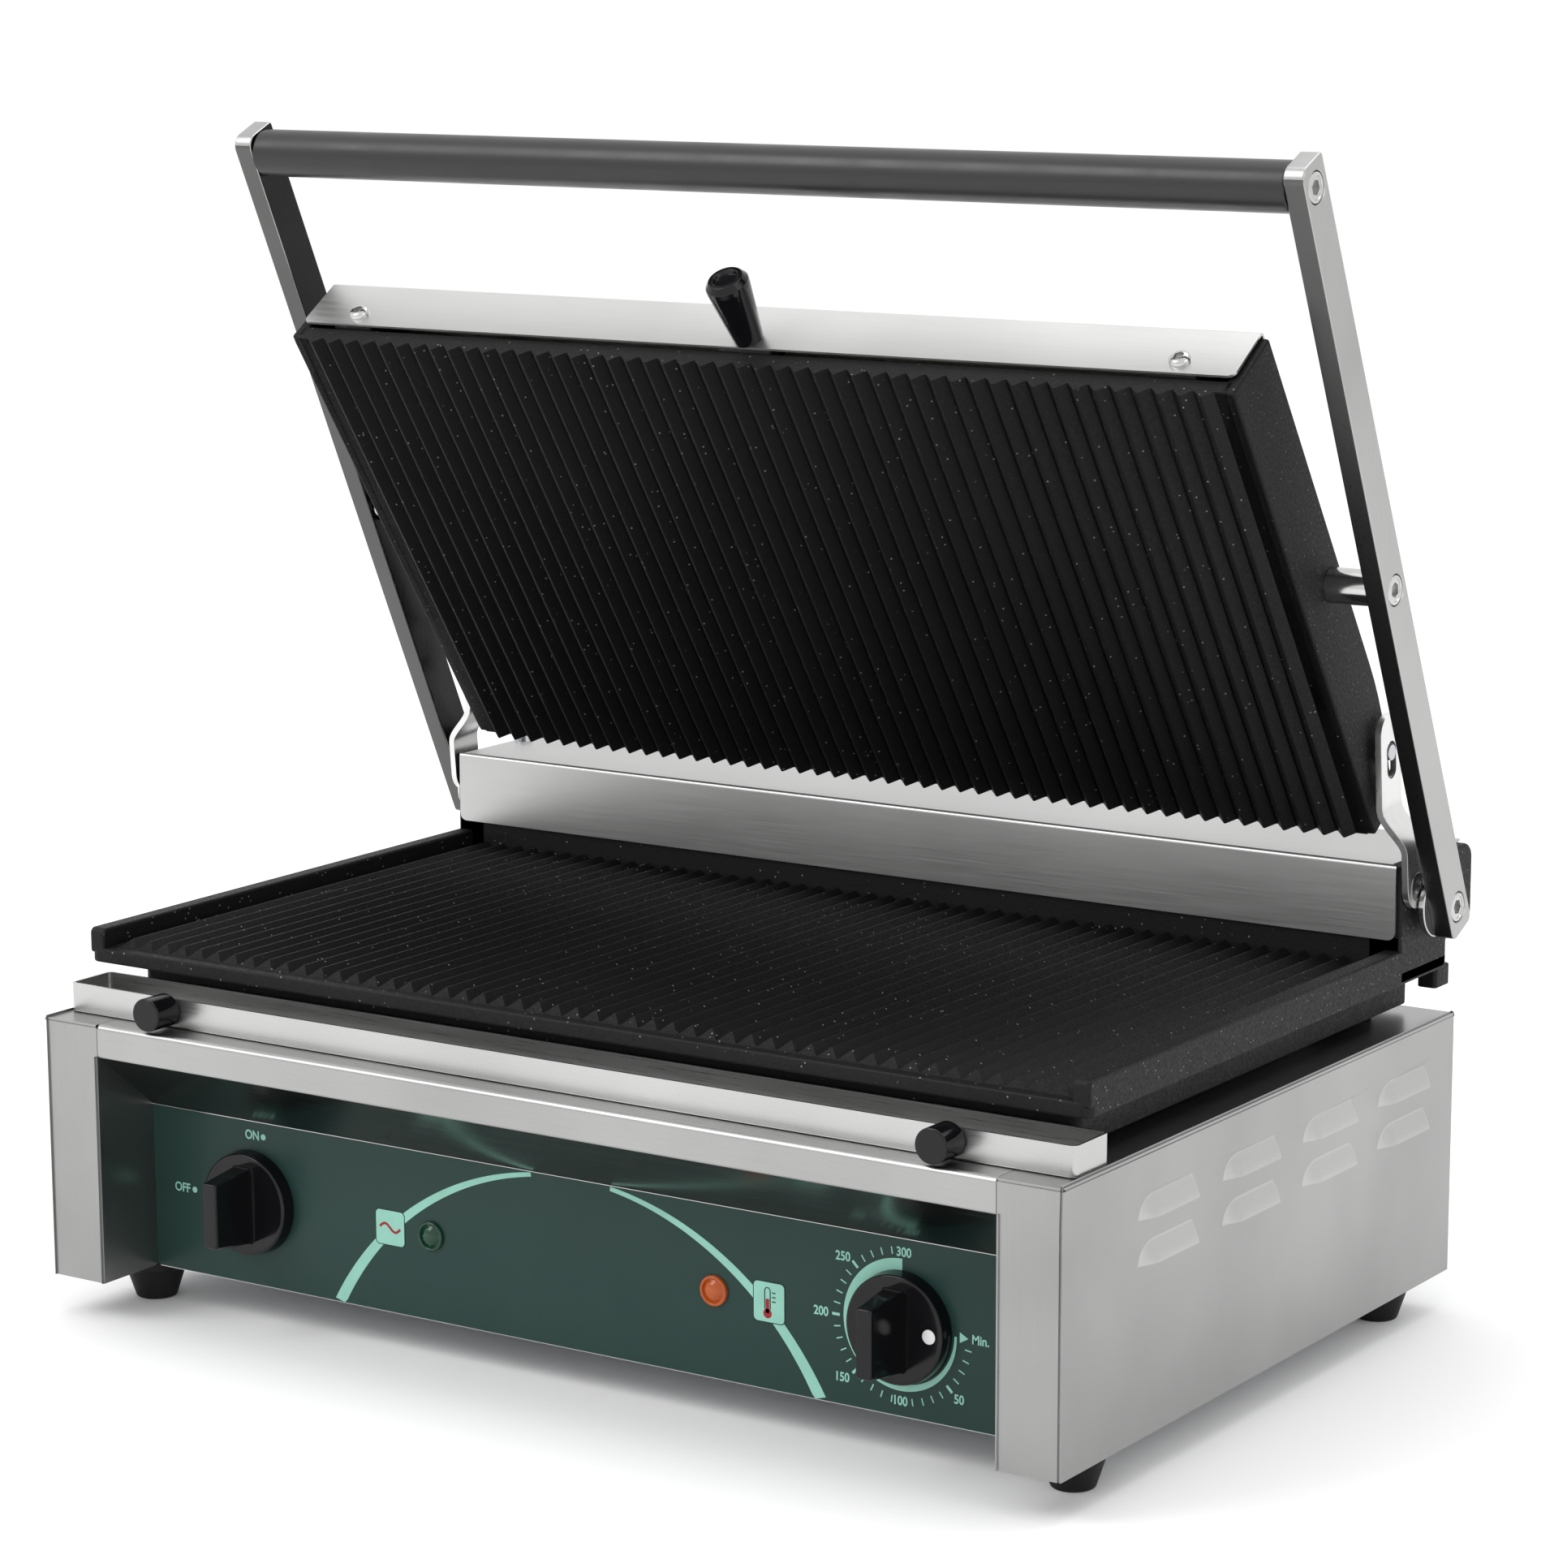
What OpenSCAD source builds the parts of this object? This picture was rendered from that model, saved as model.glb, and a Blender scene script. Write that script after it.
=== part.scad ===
// Contact grill with a ribbed cast-iron plate on a stainless housing and a ribbed lid plate
// that hangs between two arms. Millimetres, +Z up, the front faces -Y.
// The origin is the centre of the footprint, on the surface that the feet stand on.

/* [Housing] */
// Width of the housing
body_w = 440; // [380:5:540]
// Depth of the housing
body_d = 291; // [240:1:360]
// Height of the housing without its feet
body_h = 100; // [85:1:125]
// Thickness of the stainless sheet
sheet = 1.2; // [0.8:0.1:1.6]
// Outside radius of the bends in the sheet
bend_r = 2; // [1.8:0.1:4]
// Width of each front post
post_w = 25; // [16:1:35]
// Height of the bar above the front recess
bar_h = 12.2; // [8:0.2:18]
// Depth of the recess in front of the control panel
recess_d = 30; // [20:1:36]
// Height of the control panel
panel_h = 63.5; // [55:0.5:70]
// Height of the rubber feet
foot_h = 15; // [8:1:30]
// Radius of a foot where it meets the housing
foot_r = 12.5; // [9:0.5:16]

/* [Louvres] */
// Columns of louvres on each side
louvre_cols = 4; // [2:1:4]
// Length of one louvre
louvre_l = 40; // [30:1:46]
// Height of the hood that a louvre is cut from
louvre_h = 10.4; // [8:0.2:12]
// How far a louvre stands out of the side
louvre_out = 3; // [2:0.1:3.5]

/* [Controls] */
// Diameter of a control knob
knob_d = 40; // [30:1:44]
// How far a knob stands out of the panel
knob_h = 25; // [18:1:28]
// Height of the knobs' and lamps' centres
control_z = 32.3; // [28:0.1:36]
// Distance of each lamp from the middle
lamp_x = 62.5; // [30:0.5:90]
// Diameter of a lamp's lens
lamp_d = 11.2; // [8:0.1:14]

/* [Drip tray] */
// Depth of the tray from front to rear
tray_d = 22.5; // [18:0.5:26]
// Height of the tray
tray_h = 11.2; // [8:0.1:13]
// Diameter of a tray knob
tray_knob_d = 12.6; // [9:0.1:14]

/* [Plates] */
// Distance between two ribs
rib_pitch = 8.25; // [6:0.05:12]
// Height of a rib
rib_h = 3; // [1.5:0.1:4]
// Length of the upper plate from front to rear
upper_d = 207; // [180:1:215]
// Thickness of the upper casting at its front edge
upper_t = 9.2; // [7:0.1:14]
// Height of the upper casting's side walls
upper_wall_h = 33; // [28:0.5:36]
// Height of the lower plate's side rims above the plate's flange
rim_h = 13.1; // [10:0.1:16]

/* [Lid arms] */
// Thickness of the flat bar that an arm is cut from
arm_t = 8; // [6:0.5:9]
// Width of the arm's flat bar
arm_w = 16; // [14:1:20]
// Distance from the hinge to the pivot of the upper plate
arm_pivot = 137.4; // [130:0.2:145]
// Distance from the hinge to the middle of the handle
arm_handle = 296; // [250:1:350]
// How far the arms lean forward when the lid is open
lean = 25; // [20:0.5:30]
// Tilt of the upper plate when the lid is open
plate_tilt = 56.1; // [50:0.1:60]
// Diameter of the handle's grip
handle_d = 18; // [16:0.5:26]
// Diameter of the hinge shaft
shaft_d = 12; // [10:0.5:12.5]

/* [Hidden] */
$fn = 64;

// Fits, all radial
run_fit = 0.05;
loose_fit = 0.3;
screw_fit = 0.2;

// Screws: shank radius, head radius, head height
m4 = [2, 4, 2.2];
m5 = [2.5, 4.5, 3];
m6 = [3, 5.5, 3];
m8 = [4, 6.5, 5];

half_w = body_w / 2;
recess_x = half_w - post_w;
recess_top = body_h - bar_h;
panel_back = recess_d + sheet;
power_x = 48 - recess_x;
thermostat_x = recess_x - 55;
feet_x = half_w - 17;
feet_y = [38, body_d - 25];

// Louvres: a hood is a slice of a capsule
hood_r = (pow(louvre_h / 2, 2) + pow(louvre_out, 2)) / (2 * louvre_out);
hood_in = hood_r - louvre_out;
hood_span = louvre_l - louvre_h;
louvre_pitch = 59.5;
louvre_y1 = 70;
louvre_z = [body_h - 36.2, body_h - 20.2];
louvre_lip = 2.8;

// Drip tray
tray_w = body_w - 4;
tray_y = 11.5;
tray_sheet = 1;
tray_knob_l = 12.5;
tray_knob_x = half_w - 50;
tray_knob_z = body_h + 7;

// Lower plate
plate_w = body_w - 6;
plate_y = [22, body_d - 2];
flange_z = body_h + 17.5;
lip_z = flange_z + 5.5;
rim_w = 7;
skirt_w = plate_w - 26;
skirt_y = [37, body_d - 6];
skirt_z = body_h + 3;
skirt_wall = 7;
floor_z = body_h + 12;
rib_y = [27, body_d - 40];
valley = 0.4;
crest_z = lip_z + valley + rib_h;
back_wall = [body_d - 40.5, body_d - 34];
back_wall_z = flange_z + 19.5;
pad_r = 11;
pad_x = half_w - 32;
pad_y = [62, body_d - 29];

// Hinge ears, part of the lower casting
hinge_y = body_d - 21.8;
hinge_z = body_h + 45.6;
ear_w = 14;
ear_x = half_w - 3;
ear_back = body_d + 19;
ear_z = body_h + 62;
bush_r = 8;
ear_low_z = body_h + 30;
ear_round = 6;

// Splash cover
splash_t = 1;
splash_y = body_d - 42;
splash_z = body_h + 34.6;
splash_w = body_w - 10;

// Arms
arm_x = half_w + 2.8;
arm_drop = 10.5;
arm_rise = 9.5;
washer_r = 12;
washer_t = 2.6;
head_bore = m6[1] + loose_fit;
pivot_y = hinge_y - arm_pivot * sin(lean);
pivot_z = hinge_z + arm_pivot * cos(lean);
handle_end = arm_x;

// Upper plate, in its own frame: origin at the front edge of the ribs' crests
upper_w = body_w - 29;
pivot_s = 104;
pivot_t = 24.2;
pin_s = pivot_s + 78.55;
pin_t = pivot_t - 2.1;
upper_wall = 5.5;
wall_flat = 150;
wall_back_t = 25;
cover_t = 1;
cover_s = -2.1;
cover_w = upper_w - 5;
cover_low_t = 9.4;
cover_screw_x = half_w - 40.7;
cover_screw_t = 16.1;
lift_x = 2;
lift_t = 14.6;
lift_l = 27.6;
spacer_r = 6.5;
journal_r = 4.5;

// Slotted links
link_t = 2.5;
link_w = 16;
link_y = body_d - 33.4;
link_z = body_h + 54;
link_lean = 5.1;
link_in_x = half_w - 12.6;
link_out_x = half_w - 2.7;
jog_start = 14;
jog_end = 30;
slot_from = 43.6;
slot_to = 50.6;
slot_w = 7.2;
slot_shift = 0.4;
pin_r = 2.9;
shoulder_r = 4;
link_sink = 1.2;

// Heaters
heater_r = 4;
heater_leg = 300;
heater_gap = 52;
heater_x = 25;
// Window in the deck for the lower heater's terminals
window_x = 134;
window_y = 74;
plate_mid = (skirt_y[0] + skirt_y[1]) / 2;
clamp_x = [-100, 0, 100];
clamp_t = 3;
clamp_z = floor_z - 2 * heater_r - clamp_t;
boss_y = 96;
// Controls
spindle_r = 3;
spindle_in = 14;
knob_back = recess_d - 0.4;
knob_reach = knob_h - 0.4;
knob_front = knob_back - knob_reach;
dot_x = 14;
dot_t = 1;
cord_r = 4.5;

// Hinge springs and handle
spring_r = 11;
spring_wire = 4;
spring_pitch = 4.4;
spring_turns = 9;
spring_reach = spring_turns * spring_pitch;
spring_x = ear_x - ear_w - 6;
handle_core = 6;
splash_top = ear_z + splash_t;
splash_back = body_d + 17;
upper_mid = 84;
clamp_s = 24;
upper_bar = 72;

// Screws and glands
splash_screw_x = half_w - 10;
splash_screw_y = body_d - 4;
gland_x = 150;
gland_z = 32;
gland_r = 10;

// The object's depth runs from the tray knobs' fronts to the backs of the hinge ears
front_y = tray_y - tray_knob_l;
mid_y = (front_y + ear_back) / 2;

stainless = [0.78, 0.78, 0.77];
polished = [0.86, 0.86, 0.86];
iron = [0.07, 0.07, 0.075];
black = [0.03, 0.03, 0.035];
green = [0.13, 0.27, 0.25];

// Moves a shape from housing coordinates to the object's own frame:
// y from the housing's front, z from the housing's underside
module place() translate([0, -mid_y, foot_h]) children();

module both_sides() {
    children();
    mirror([1, 0, 0]) children();
}

// A cylinder along +X
module rod_x(r, x0, x1, y = 0, z = 0) {
    translate([x0, y, z]) rotate([0, 90, 0]) cylinder(r = r, h = x1 - x0);
}

// A cylinder along +Y
module rod_y(r, y0, y1, x = 0, z = 0) {
    translate([x, y1, z]) rotate([90, 0, 0]) cylinder(r = r, h = y1 - y0);
}

// A box given by its two corners
module block(a, b) translate(a) cube(b - a);

// An outline in the YZ plane, carried along X
module along_x(x0, x1) {
    translate([x0, 0, 0]) rotate([90, 0, 90]) linear_extrude(x1 - x0) children();
}

// Rectangle with its two upper corners rounded
module arch(w, h, r) {
    translate([-w / 2, 0]) square([w, h - r]);
    translate([r - w / 2, 0]) square([w - 2 * r, h]);
    for (side = [-1, 1]) translate([side * (w / 2 - r), h - r]) circle(r);
}

// Rectangle with all its corners rounded
module round_rect(w, h, r) {
    translate([-w / 2, -h / 2 + r]) square([w, h - 2 * r]);
    translate([-w / 2 + r, -h / 2]) square([w - 2 * r, h]);
    for (sx = [-1, 1], sy = [-1, 1])
        translate([sx * (w / 2 - r), sy * (h / 2 - r)]) circle(r);
}

// Bar with round ends, from a to b
module slot_2d(a, b, w) {
    translate([-w / 2, a]) square([w, b - a]);
    for (end = [a, b]) translate([0, end]) circle(w / 2);
}

// Row of ribs: a toothed outline with narrow flat crests
module rib_outline(w, pitch, h, base) {
    count = floor(w / pitch);
    crest = 0.7;
    root = 0.35;
    start = -count * pitch / 2;
    polygon(concat(
        [[w / 2, -base], [w / 2, 0]],
        [for (i = [count - 1:-1:0], p = [3:-1:0])
            [start + (i + [0, 0.5, 0.5, 1][p]) * pitch + [root, -crest, crest, -root][p],
             [0, h, h, 0][p]]],
        [[-w / 2, 0], [-w / 2, -base]]));
}

// Screw along -Z with its head resting on z = 0
module screw(size, length) {
    translate([0, 0, -length]) cylinder(r = size[0], h = length);
    difference() {
        cylinder(r1 = size[1], r2 = size[1] * 0.8, h = size[2]);
        translate([0, 0, size[2] * 0.4]) cylinder(r = size[1] * 0.42, h = size[2], $fn = 6);
    }
}

// Screw along -Z with a cylindrical head sunk below z = 0
module sunk_screw(size, length) {
    translate([0, 0, -length]) cylinder(r = size[0], h = length);
    difference() {
        translate([0, 0, -size[2]]) cylinder(r = size[1], h = size[2]);
        translate([0, 0, -size[2] * 0.7]) cylinder(r = size[1] * 0.42, h = size[2], $fn = 6);
    }
}

// ---------------------------------------------------------------- housing

// Solid of the bent sheet box, drawn in from its outside by inset
module bent_box(inset, over) {
    r = bend_r - inset;
    w = body_w - 2 * inset;
    h = body_h - inset + over;
    d = body_d - inset + over;
    translate([0, inset, -over]) intersection() {
        translate([0, d, 0]) rotate([90, 0, 0]) linear_extrude(d) arch(w, h, r);
        linear_extrude(h) translate([0, d]) mirror([0, 1]) arch(w, d, r);
        along_x(-w / 2, w / 2) {
            square([d, h - r]);
            translate([r, 0]) square([d - r, h]);
            translate([r, h - r]) circle(r);
        }
    }
}

module capsule(r) {
    rotate([90, 0, 0]) cylinder(r = r, h = hood_span, center = true);
    for (end = [-1, 1]) translate([0, end * hood_span / 2, 0]) sphere(r);
}

module at_louvres() {
    for (col = [0:louvre_cols - 1], z = louvre_z, side = [-1, 1])
        translate([side * (half_w - hood_in), louvre_y1 + col * louvre_pitch, z]) children();
}

module louvre_slits() {
    for (col = [0:louvre_cols - 1], z = louvre_z, side = [0, 1]) mirror([side, 0, 0])
        translate([half_w - sheet - 1, louvre_y1 + (col - 0.5) * louvre_pitch, z - hood_r - 1])
            cube([hood_r + sheet, louvre_pitch, hood_r + 1 - louvre_lip]);
}

module housing_shell() color(stainless) place() difference() {
    union() {
        difference() {
            bent_box(0, 0);
            bent_box(sheet, 1);
        }
        difference() {
            at_louvres() capsule(hood_r);
            block([sheet - half_w, 0, 0], [half_w - sheet, body_d, body_h]);
            louvre_slits();
        }
    }
    difference() {
        at_louvres() capsule(hood_r - sheet);
        louvre_slits();
    }
    block([-recess_x, -1, -1], [recess_x, sheet + 1, recess_top]);
    block([-window_x, plate_mid - window_y, body_h - sheet - 1],
        [window_x, plate_mid + window_y, body_h + 1]);
    for (side = [-1, 1], y = pad_y) translate([side * pad_x, y, body_h / 2])
        cylinder(r = m8[0] + 0.5, h = body_h);
}

module front_frame() color(polished) place() {
    bevel_rise = (recess_top - panel_h) / recess_d;
    lift = sheet * sqrt(1 + pow(bevel_rise, 2));
    difference() {
        both_sides() along_x(recess_x, recess_x + sheet) polygon([[sheet, 0], [panel_back, 0],
            [panel_back, panel_h], [sheet, recess_top - sheet * bevel_rise]]);
        block([-half_w, sheet - 1, -1], [half_w, sheet, body_h]);
    }
    along_x(-recess_x, recess_x) polygon([[0, recess_top], [recess_d, panel_h],
        [recess_d, panel_h + lift], [lift / bevel_rise, recess_top]]);
}

module control_panel() color(green) place() difference() {
    block([-recess_x, recess_d, 0], [recess_x, panel_back, panel_h]);
    for (x = [power_x, thermostat_x]) rod_y(5 + screw_fit, recess_d - 1, panel_back + 1, x, control_z);
    for (x = [-lamp_x, lamp_x]) rod_y(4.5 + screw_fit, recess_d - 1, panel_back + 1, x, control_z);
}

module base_plate() color(stainless) place() difference() {
    block([sheet - half_w, panel_back, 0], [half_w - sheet, body_d, sheet]);
    for (side = [-1, 1], y = feet_y) translate([side * feet_x, y, -1])
        cylinder(r = m5[0] + screw_fit, h = sheet + 2);
    for (x = [-120:24:120]) translate([x, body_d / 2, -1])
        linear_extrude(sheet + 2) slot_2d(-50, 50, 6);
}

module back_panel() color(stainless) place() difference() {
    translate([0, body_d, sheet]) rotate([90, 0, 0]) linear_extrude(sheet)
        arch(body_w - 2 * sheet, body_h - 2 * sheet, bend_r - sheet);
    for (x = [-gland_x, gland_x])
        rod_y(gland_r + screw_fit, body_d - sheet - 1, body_d + 1, x, gland_z);
    for (side = [-1, 1], z = [14, body_h - 14])
        rod_y(m4[0] + screw_fit, body_d - sheet - 1, body_d + 1, side * (half_w - 14), z);
    for (x = [-60:20:60]) translate([x, body_d + 1, body_h / 2])
        rotate([90, 0, 0]) linear_extrude(sheet + 2) slot_2d(-18, 18, 6);
}

module panel_screws() color(polished) place() both_sides() for (z = [14, body_h - 14])
    translate([half_w - 14, body_d, z]) rotate([-90, 0, 0]) screw(m4, 7);

module feet() color(black) place() for (side = [-1, 1], y = feet_y)
    translate([side * feet_x, y, -foot_h]) rotate_extrude() polygon([
        [m5[0] + screw_fit, 6], [6, 6], [6, 0], [foot_r - 4.8, 0], [foot_r - 4.3, 0.6],
        [foot_r - 1.2, foot_h - 4], [foot_r, foot_h - 2.5], [foot_r, foot_h],
        [m5[0] + screw_fit, foot_h]]);

module feet_screws() color(polished) place() for (side = [-1, 1], y = feet_y)
    translate([side * feet_x, y, 0]) {
        mirror([0, 0, 1]) translate([0, 0, foot_h - 6]) screw(m5, foot_h);
        translate([0, 0, sheet]) difference() {
            cylinder(r = 4.6, h = 4, $fn = 6);
            translate([0, 0, -1]) cylinder(r = m5[0], h = 6);
        }
    }

// ---------------------------------------------------------------- lower plate

module ear_outline() {
    y0 = back_wall[0];
    translate([y0, flange_z]) square([plate_y[1] - y0, ear_z - flange_z]);
    translate([y0, ear_low_z]) square([ear_back - ear_round - y0, ear_z - ear_low_z]);
    translate([y0, ear_low_z + ear_round])
        square([ear_back - y0, ear_z - ear_low_z - 2 * ear_round]);
    for (z = [ear_low_z + ear_round, ear_z - ear_round])
        translate([ear_back - ear_round, z]) circle(ear_round);
}

module lower_plate() color(iron) place() difference() {
    union() {
        difference() {
            translate([0, plate_y[1], flange_z]) mirror([0, 1, 0])
                linear_extrude(rim_h) arch(plate_w, plate_y[1] - plate_y[0], 4);
            block([rim_w - ear_x, 0, lip_z], [ear_x - rim_w, body_d, flange_z + rim_h + 1]);
        }
        translate([0, plate_mid, skirt_z]) linear_extrude(flange_z - skirt_z + 1)
            round_rect(skirt_w, skirt_y[1] - skirt_y[0], 4);
        translate([0, rib_y[1], lip_z + valley]) rotate([90, 0, 0])
            linear_extrude(rib_y[1] - rib_y[0])
                rib_outline(plate_w - 2 * rim_w, rib_pitch, rib_h, valley);
        both_sides() {
            along_x(ear_x - ear_w, ear_x) ear_outline();
            block([ear_x - 9, body_d - 8, body_h + 10], [ear_x - 1, body_d + 4, flange_z]);
            for (y = pad_y) translate([pad_x, y, body_h]) cylinder(r = pad_r, h = flange_z - body_h);
        }
        block([-ear_x, back_wall[0], lip_z], [ear_x, back_wall[1], back_wall_z]);
    }
    // heater space under the plate, with the pads and the clamps' bosses left standing
    difference() {
        block([skirt_wall - skirt_w / 2, skirt_y[0] + skirt_wall, skirt_z - 1],
            [skirt_w / 2 - skirt_wall, skirt_y[1] - skirt_wall, floor_z]);
        both_sides() for (y = pad_y) translate([pad_x, y, body_h]) cylinder(r = pad_r, h = 20);
        for (x = clamp_x, y = [-boss_y, boss_y])
            translate([x, plate_mid + y, clamp_z + clamp_t]) cylinder(r = 6, h = 20);
    }
    // front ends of the ribs, sloped
    along_x(rim_w - ear_x, ear_x - rim_w) polygon([[rib_y[0] - 1, lip_z + valley - 1],
        [rib_y[0] - 1, crest_z + 1], [rib_y[0] + rib_h + 0.2, crest_z + 1],
        [rib_y[0], lip_z + valley - 0.4]]);
    both_sides() {
        for (y = pad_y) translate([pad_x, y, 0]) cylinder(r = m8[0], h = floor_z + 4);
        rod_x(bush_r, ear_x - ear_w - 1, ear_x + 1, hinge_y, hinge_z);
        rod_x(m6[0], ear_x - ear_w - 1, ear_x + 1, link_y, link_z);
        translate([splash_screw_x, splash_screw_y, ear_z - 12]) cylinder(r = m4[0], h = 13);
    }
}

module plate_bolts() color(polished) place() both_sides() for (y = pad_y)
    translate([pad_x, y, body_h - sheet]) mirror([0, 0, 1]) {
        washer_h = 1.6;
        difference() {
            cylinder(r = 8, h = washer_h);
            translate([0, 0, -1]) cylinder(r = m8[0], h = washer_h + 2);
        }
        translate([0, 0, washer_h]) cylinder(r = 7.5, h = m8[2], $fn = 6);
        translate([0, 0, -14]) cylinder(r = m8[0], h = 14 + washer_h);
    }

// Two hairpins side by side, legs along X, with their terminals turned away from the plate
module heater(z, drop) {
    bend = heater_gap / 2;
    for (row = [-1, 1]) translate([0, row * heater_gap, z]) {
        for (leg = [-1, 1]) rod_x(heater_r, -heater_leg / 2, heater_leg / 2, leg * bend / 2);
        translate([heater_leg / 2, 0, 0]) rotate([0, 0, -90])
            rotate_extrude(angle = 180) translate([bend / 2, 0]) circle(heater_r);
        for (leg = [-1, 1]) {
            translate([-heater_leg / 2, leg * bend / 2, 0]) sphere(heater_r);
            translate([-heater_leg / 2, leg * bend / 2, min(0, drop)])
                cylinder(r = heater_r, h = abs(drop));
        }
    }
}

module lower_heater() color([0.25, 0.2, 0.18]) place()
    translate([heater_x, plate_mid, 0]) heater(floor_z - heater_r, -30);

module clamp_bar(z) {
    for (x = clamp_x) difference() {
        block([x - 9, -boss_y - 9, z], [x + 9, boss_y + 9, z + clamp_t]);
        for (y = [-boss_y, boss_y]) translate([x, y, z - 1]) cylinder(r = m5[0], h = clamp_t + 2);
    }
}

module lower_clamps() color(stainless) place() translate([0, plate_mid, 0]) {
    clamp_bar(clamp_z);
    for (x = clamp_x, y = [-boss_y, boss_y]) translate([x, y, clamp_z])
        mirror([0, 0, 1]) cylinder(r = 2.4, h = 0.4);
}

module lower_insulation() color([0.85, 0.83, 0.78]) place() difference() {
    block([-window_x - 6, plate_mid - window_y - 6, body_h - sheet - 12],
        [window_x + 6, plate_mid + window_y + 6, body_h - sheet]);
    translate([heater_x - heater_leg / 2, plate_mid, body_h - 20])
        for (row = [-1, 1], leg = [-1, 1]) translate([0, row * heater_gap + leg * heater_gap / 4, 0])
            cylinder(r = heater_r + 1, h = 30);
}

module thermostat_bulb() color([0.72, 0.45, 0.25]) place() {
    bulb_y = plate_mid;
    rod_x(3, -40, 45, bulb_y, floor_z - 3);
    translate([45, bulb_y, floor_z - 3]) sphere(3);
}

// ---------------------------------------------------------------- controls and wiring

// Body behind the panel with a bush through it and a bore for the spindle
module control_body(x, size) {
    bush = 5;
    difference() {
        union() {
            block([x - size / 2, panel_back, control_z - size / 2],
                [x + size / 2, panel_back + size, control_z + size / 2]);
            rod_y(bush, recess_d, panel_back + 1, x, control_z);
        }
        rod_y(spindle_r + run_fit, recess_d - 3, panel_back + spindle_in, x, control_z);
    }
}

module thermostat_body() color([0.6, 0.6, 0.58]) place() {
    control_body(thermostat_x, 36);
    rod_y(1.2, panel_back + 36, panel_back + 60, thermostat_x, control_z);
}

module switch_body() color([0.2, 0.2, 0.2]) place() control_body(power_x, 32);

module spindle(x) color(polished) place()
    rod_y(spindle_r, knob_front + 5, panel_back + spindle_in - 0.5, x, control_z);

module power_spindle() spindle(power_x);

module thermostat_spindle() spindle(thermostat_x);

// Round skirt with a tapered grip across it; drawn at the origin, the front faces -Y
module knob() difference() {
    skirt_t = 5.3;
    grip_w = 9;
    grip_l = knob_d * 0.71;
    union() {
        rotate([90, 0, 0]) cylinder(r1 = knob_d / 2, r2 = knob_d / 2 - 0.8, h = skirt_t);
        rotate([90, 0, 0]) cylinder(r = 9, h = skirt_t + 1);
        intersection() {
            rotate([0, 0, 180]) linear_extrude(grip_l, center = true) polygon([[-grip_w / 2, 0],
                [grip_w / 2, 0], [grip_w / 2 - 1.3, knob_reach], [1.3 - grip_w / 2, knob_reach]]);
            rotate([90, 0, 0]) cylinder(r1 = knob_d / 2 - 1, r2 = knob_d * 0.32, h = knob_reach + 1);
        }
    }
    rotate([90, 0, 0]) cylinder(r = spindle_r, h = knob_reach - 5);
}

module power_knob() color(black) place() translate([power_x, knob_back, control_z]) knob();

module thermostat_knob() color(black) place() translate([thermostat_x, knob_back, control_z])
    difference() {
        knob();
        rod_y(2.6, -10, -5.3 + dot_t, dot_x, 0);
    }

module thermostat_dot() color("white") place()
    rod_y(2.6, knob_back - 5.3, knob_back - 5.3 + dot_t, thermostat_x + dot_x, control_z);

module lamp(x) {
    rod_y(4.5, recess_d - 0.5, panel_back + 8, x, control_z);
    rod_y(lamp_d / 2, recess_d - 1.6, recess_d, x, control_z);
    intersection() {
        translate([x, recess_d + 3, control_z]) sphere(7);
        rod_y(lamp_d / 2 - 1.3, recess_d - 6, recess_d, x, control_z);
    }
}

module lamp_green() color([0.1, 0.4, 0.2]) place() lamp(-lamp_x);

module lamp_orange() color([0.95, 0.45, 0.1]) place() lamp(lamp_x);

module lamp_sockets() color([0.9, 0.9, 0.85]) place() for (x = [-lamp_x, lamp_x]) difference() {
    rod_y(7, panel_back, panel_back + 24, x, control_z);
    rod_y(4.5, panel_back - 1, panel_back + 8, x, control_z);
}

module terminal_block() color([0.92, 0.9, 0.85]) place() difference() {
    block([90, body_d - 62, sheet], [150, body_d - 42, sheet + 16]);
    for (x = [99:14:141]) translate([x, body_d - 52, sheet + 8]) cylinder(r = 2, h = 10);
}

module gland(x) difference() {
    union() {
        rod_y(gland_r, body_d - sheet - 8, body_d + 1, x, gland_z);
        rod_y(13, body_d, body_d + 9, x, gland_z);
        rod_y(13, body_d - sheet - 5, body_d - sheet, x, gland_z);
        rod_y(9.5, body_d + 9, body_d + 14, x, gland_z);
    }
    rod_y(cord_r, body_d - sheet - 9, body_d + 15, x, gland_z);
}

module cable_gland() color(black) place() gland(gland_x);

module feed_gland() color(black) place() gland(-gland_x);

// ---------------------------------------------------------------- splash cover and hinge

module splash_cover() color(stainless) place() difference() {
    union() {
        translate([0, splash_y + splash_t, (splash_z + splash_top) / 2]) rotate([90, 0, 0])
            linear_extrude(splash_t) round_rect(splash_w, splash_top - splash_z, 3);
        block([-splash_w / 2, splash_y, splash_top - 4],
            [splash_w / 2, splash_y + splash_t, splash_top]);
        block([2 - splash_w / 2, splash_y + splash_t / 2, splash_top - splash_t],
            [splash_w / 2 - 2, splash_back, splash_top]);
        block([ear_w + 1 - ear_x, splash_back - splash_t, body_h + 36],
            [ear_x - ear_w - 1, splash_back, splash_top]);
    }
    both_sides() translate([splash_screw_x, splash_screw_y, ear_z - 1])
        cylinder(r = m4[0] + screw_fit, h = 4);
}

module splash_screws() color(polished) place() both_sides()
    translate([splash_screw_x, splash_screw_y, splash_top]) screw(m4, 10);

module hinge_bushes() color([0.75, 0.6, 0.3]) place() both_sides() difference() {
    union() {
        rod_x(bush_r, ear_x - ear_w, ear_x, hinge_y, hinge_z);
        rod_x(bush_r + 2, ear_x - ear_w - 2, ear_x - ear_w, hinge_y, hinge_z);
    }
    rod_x(shaft_d / 2 + run_fit, ear_x - ear_w - 3, ear_x + 1, hinge_y, hinge_z);
}

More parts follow.
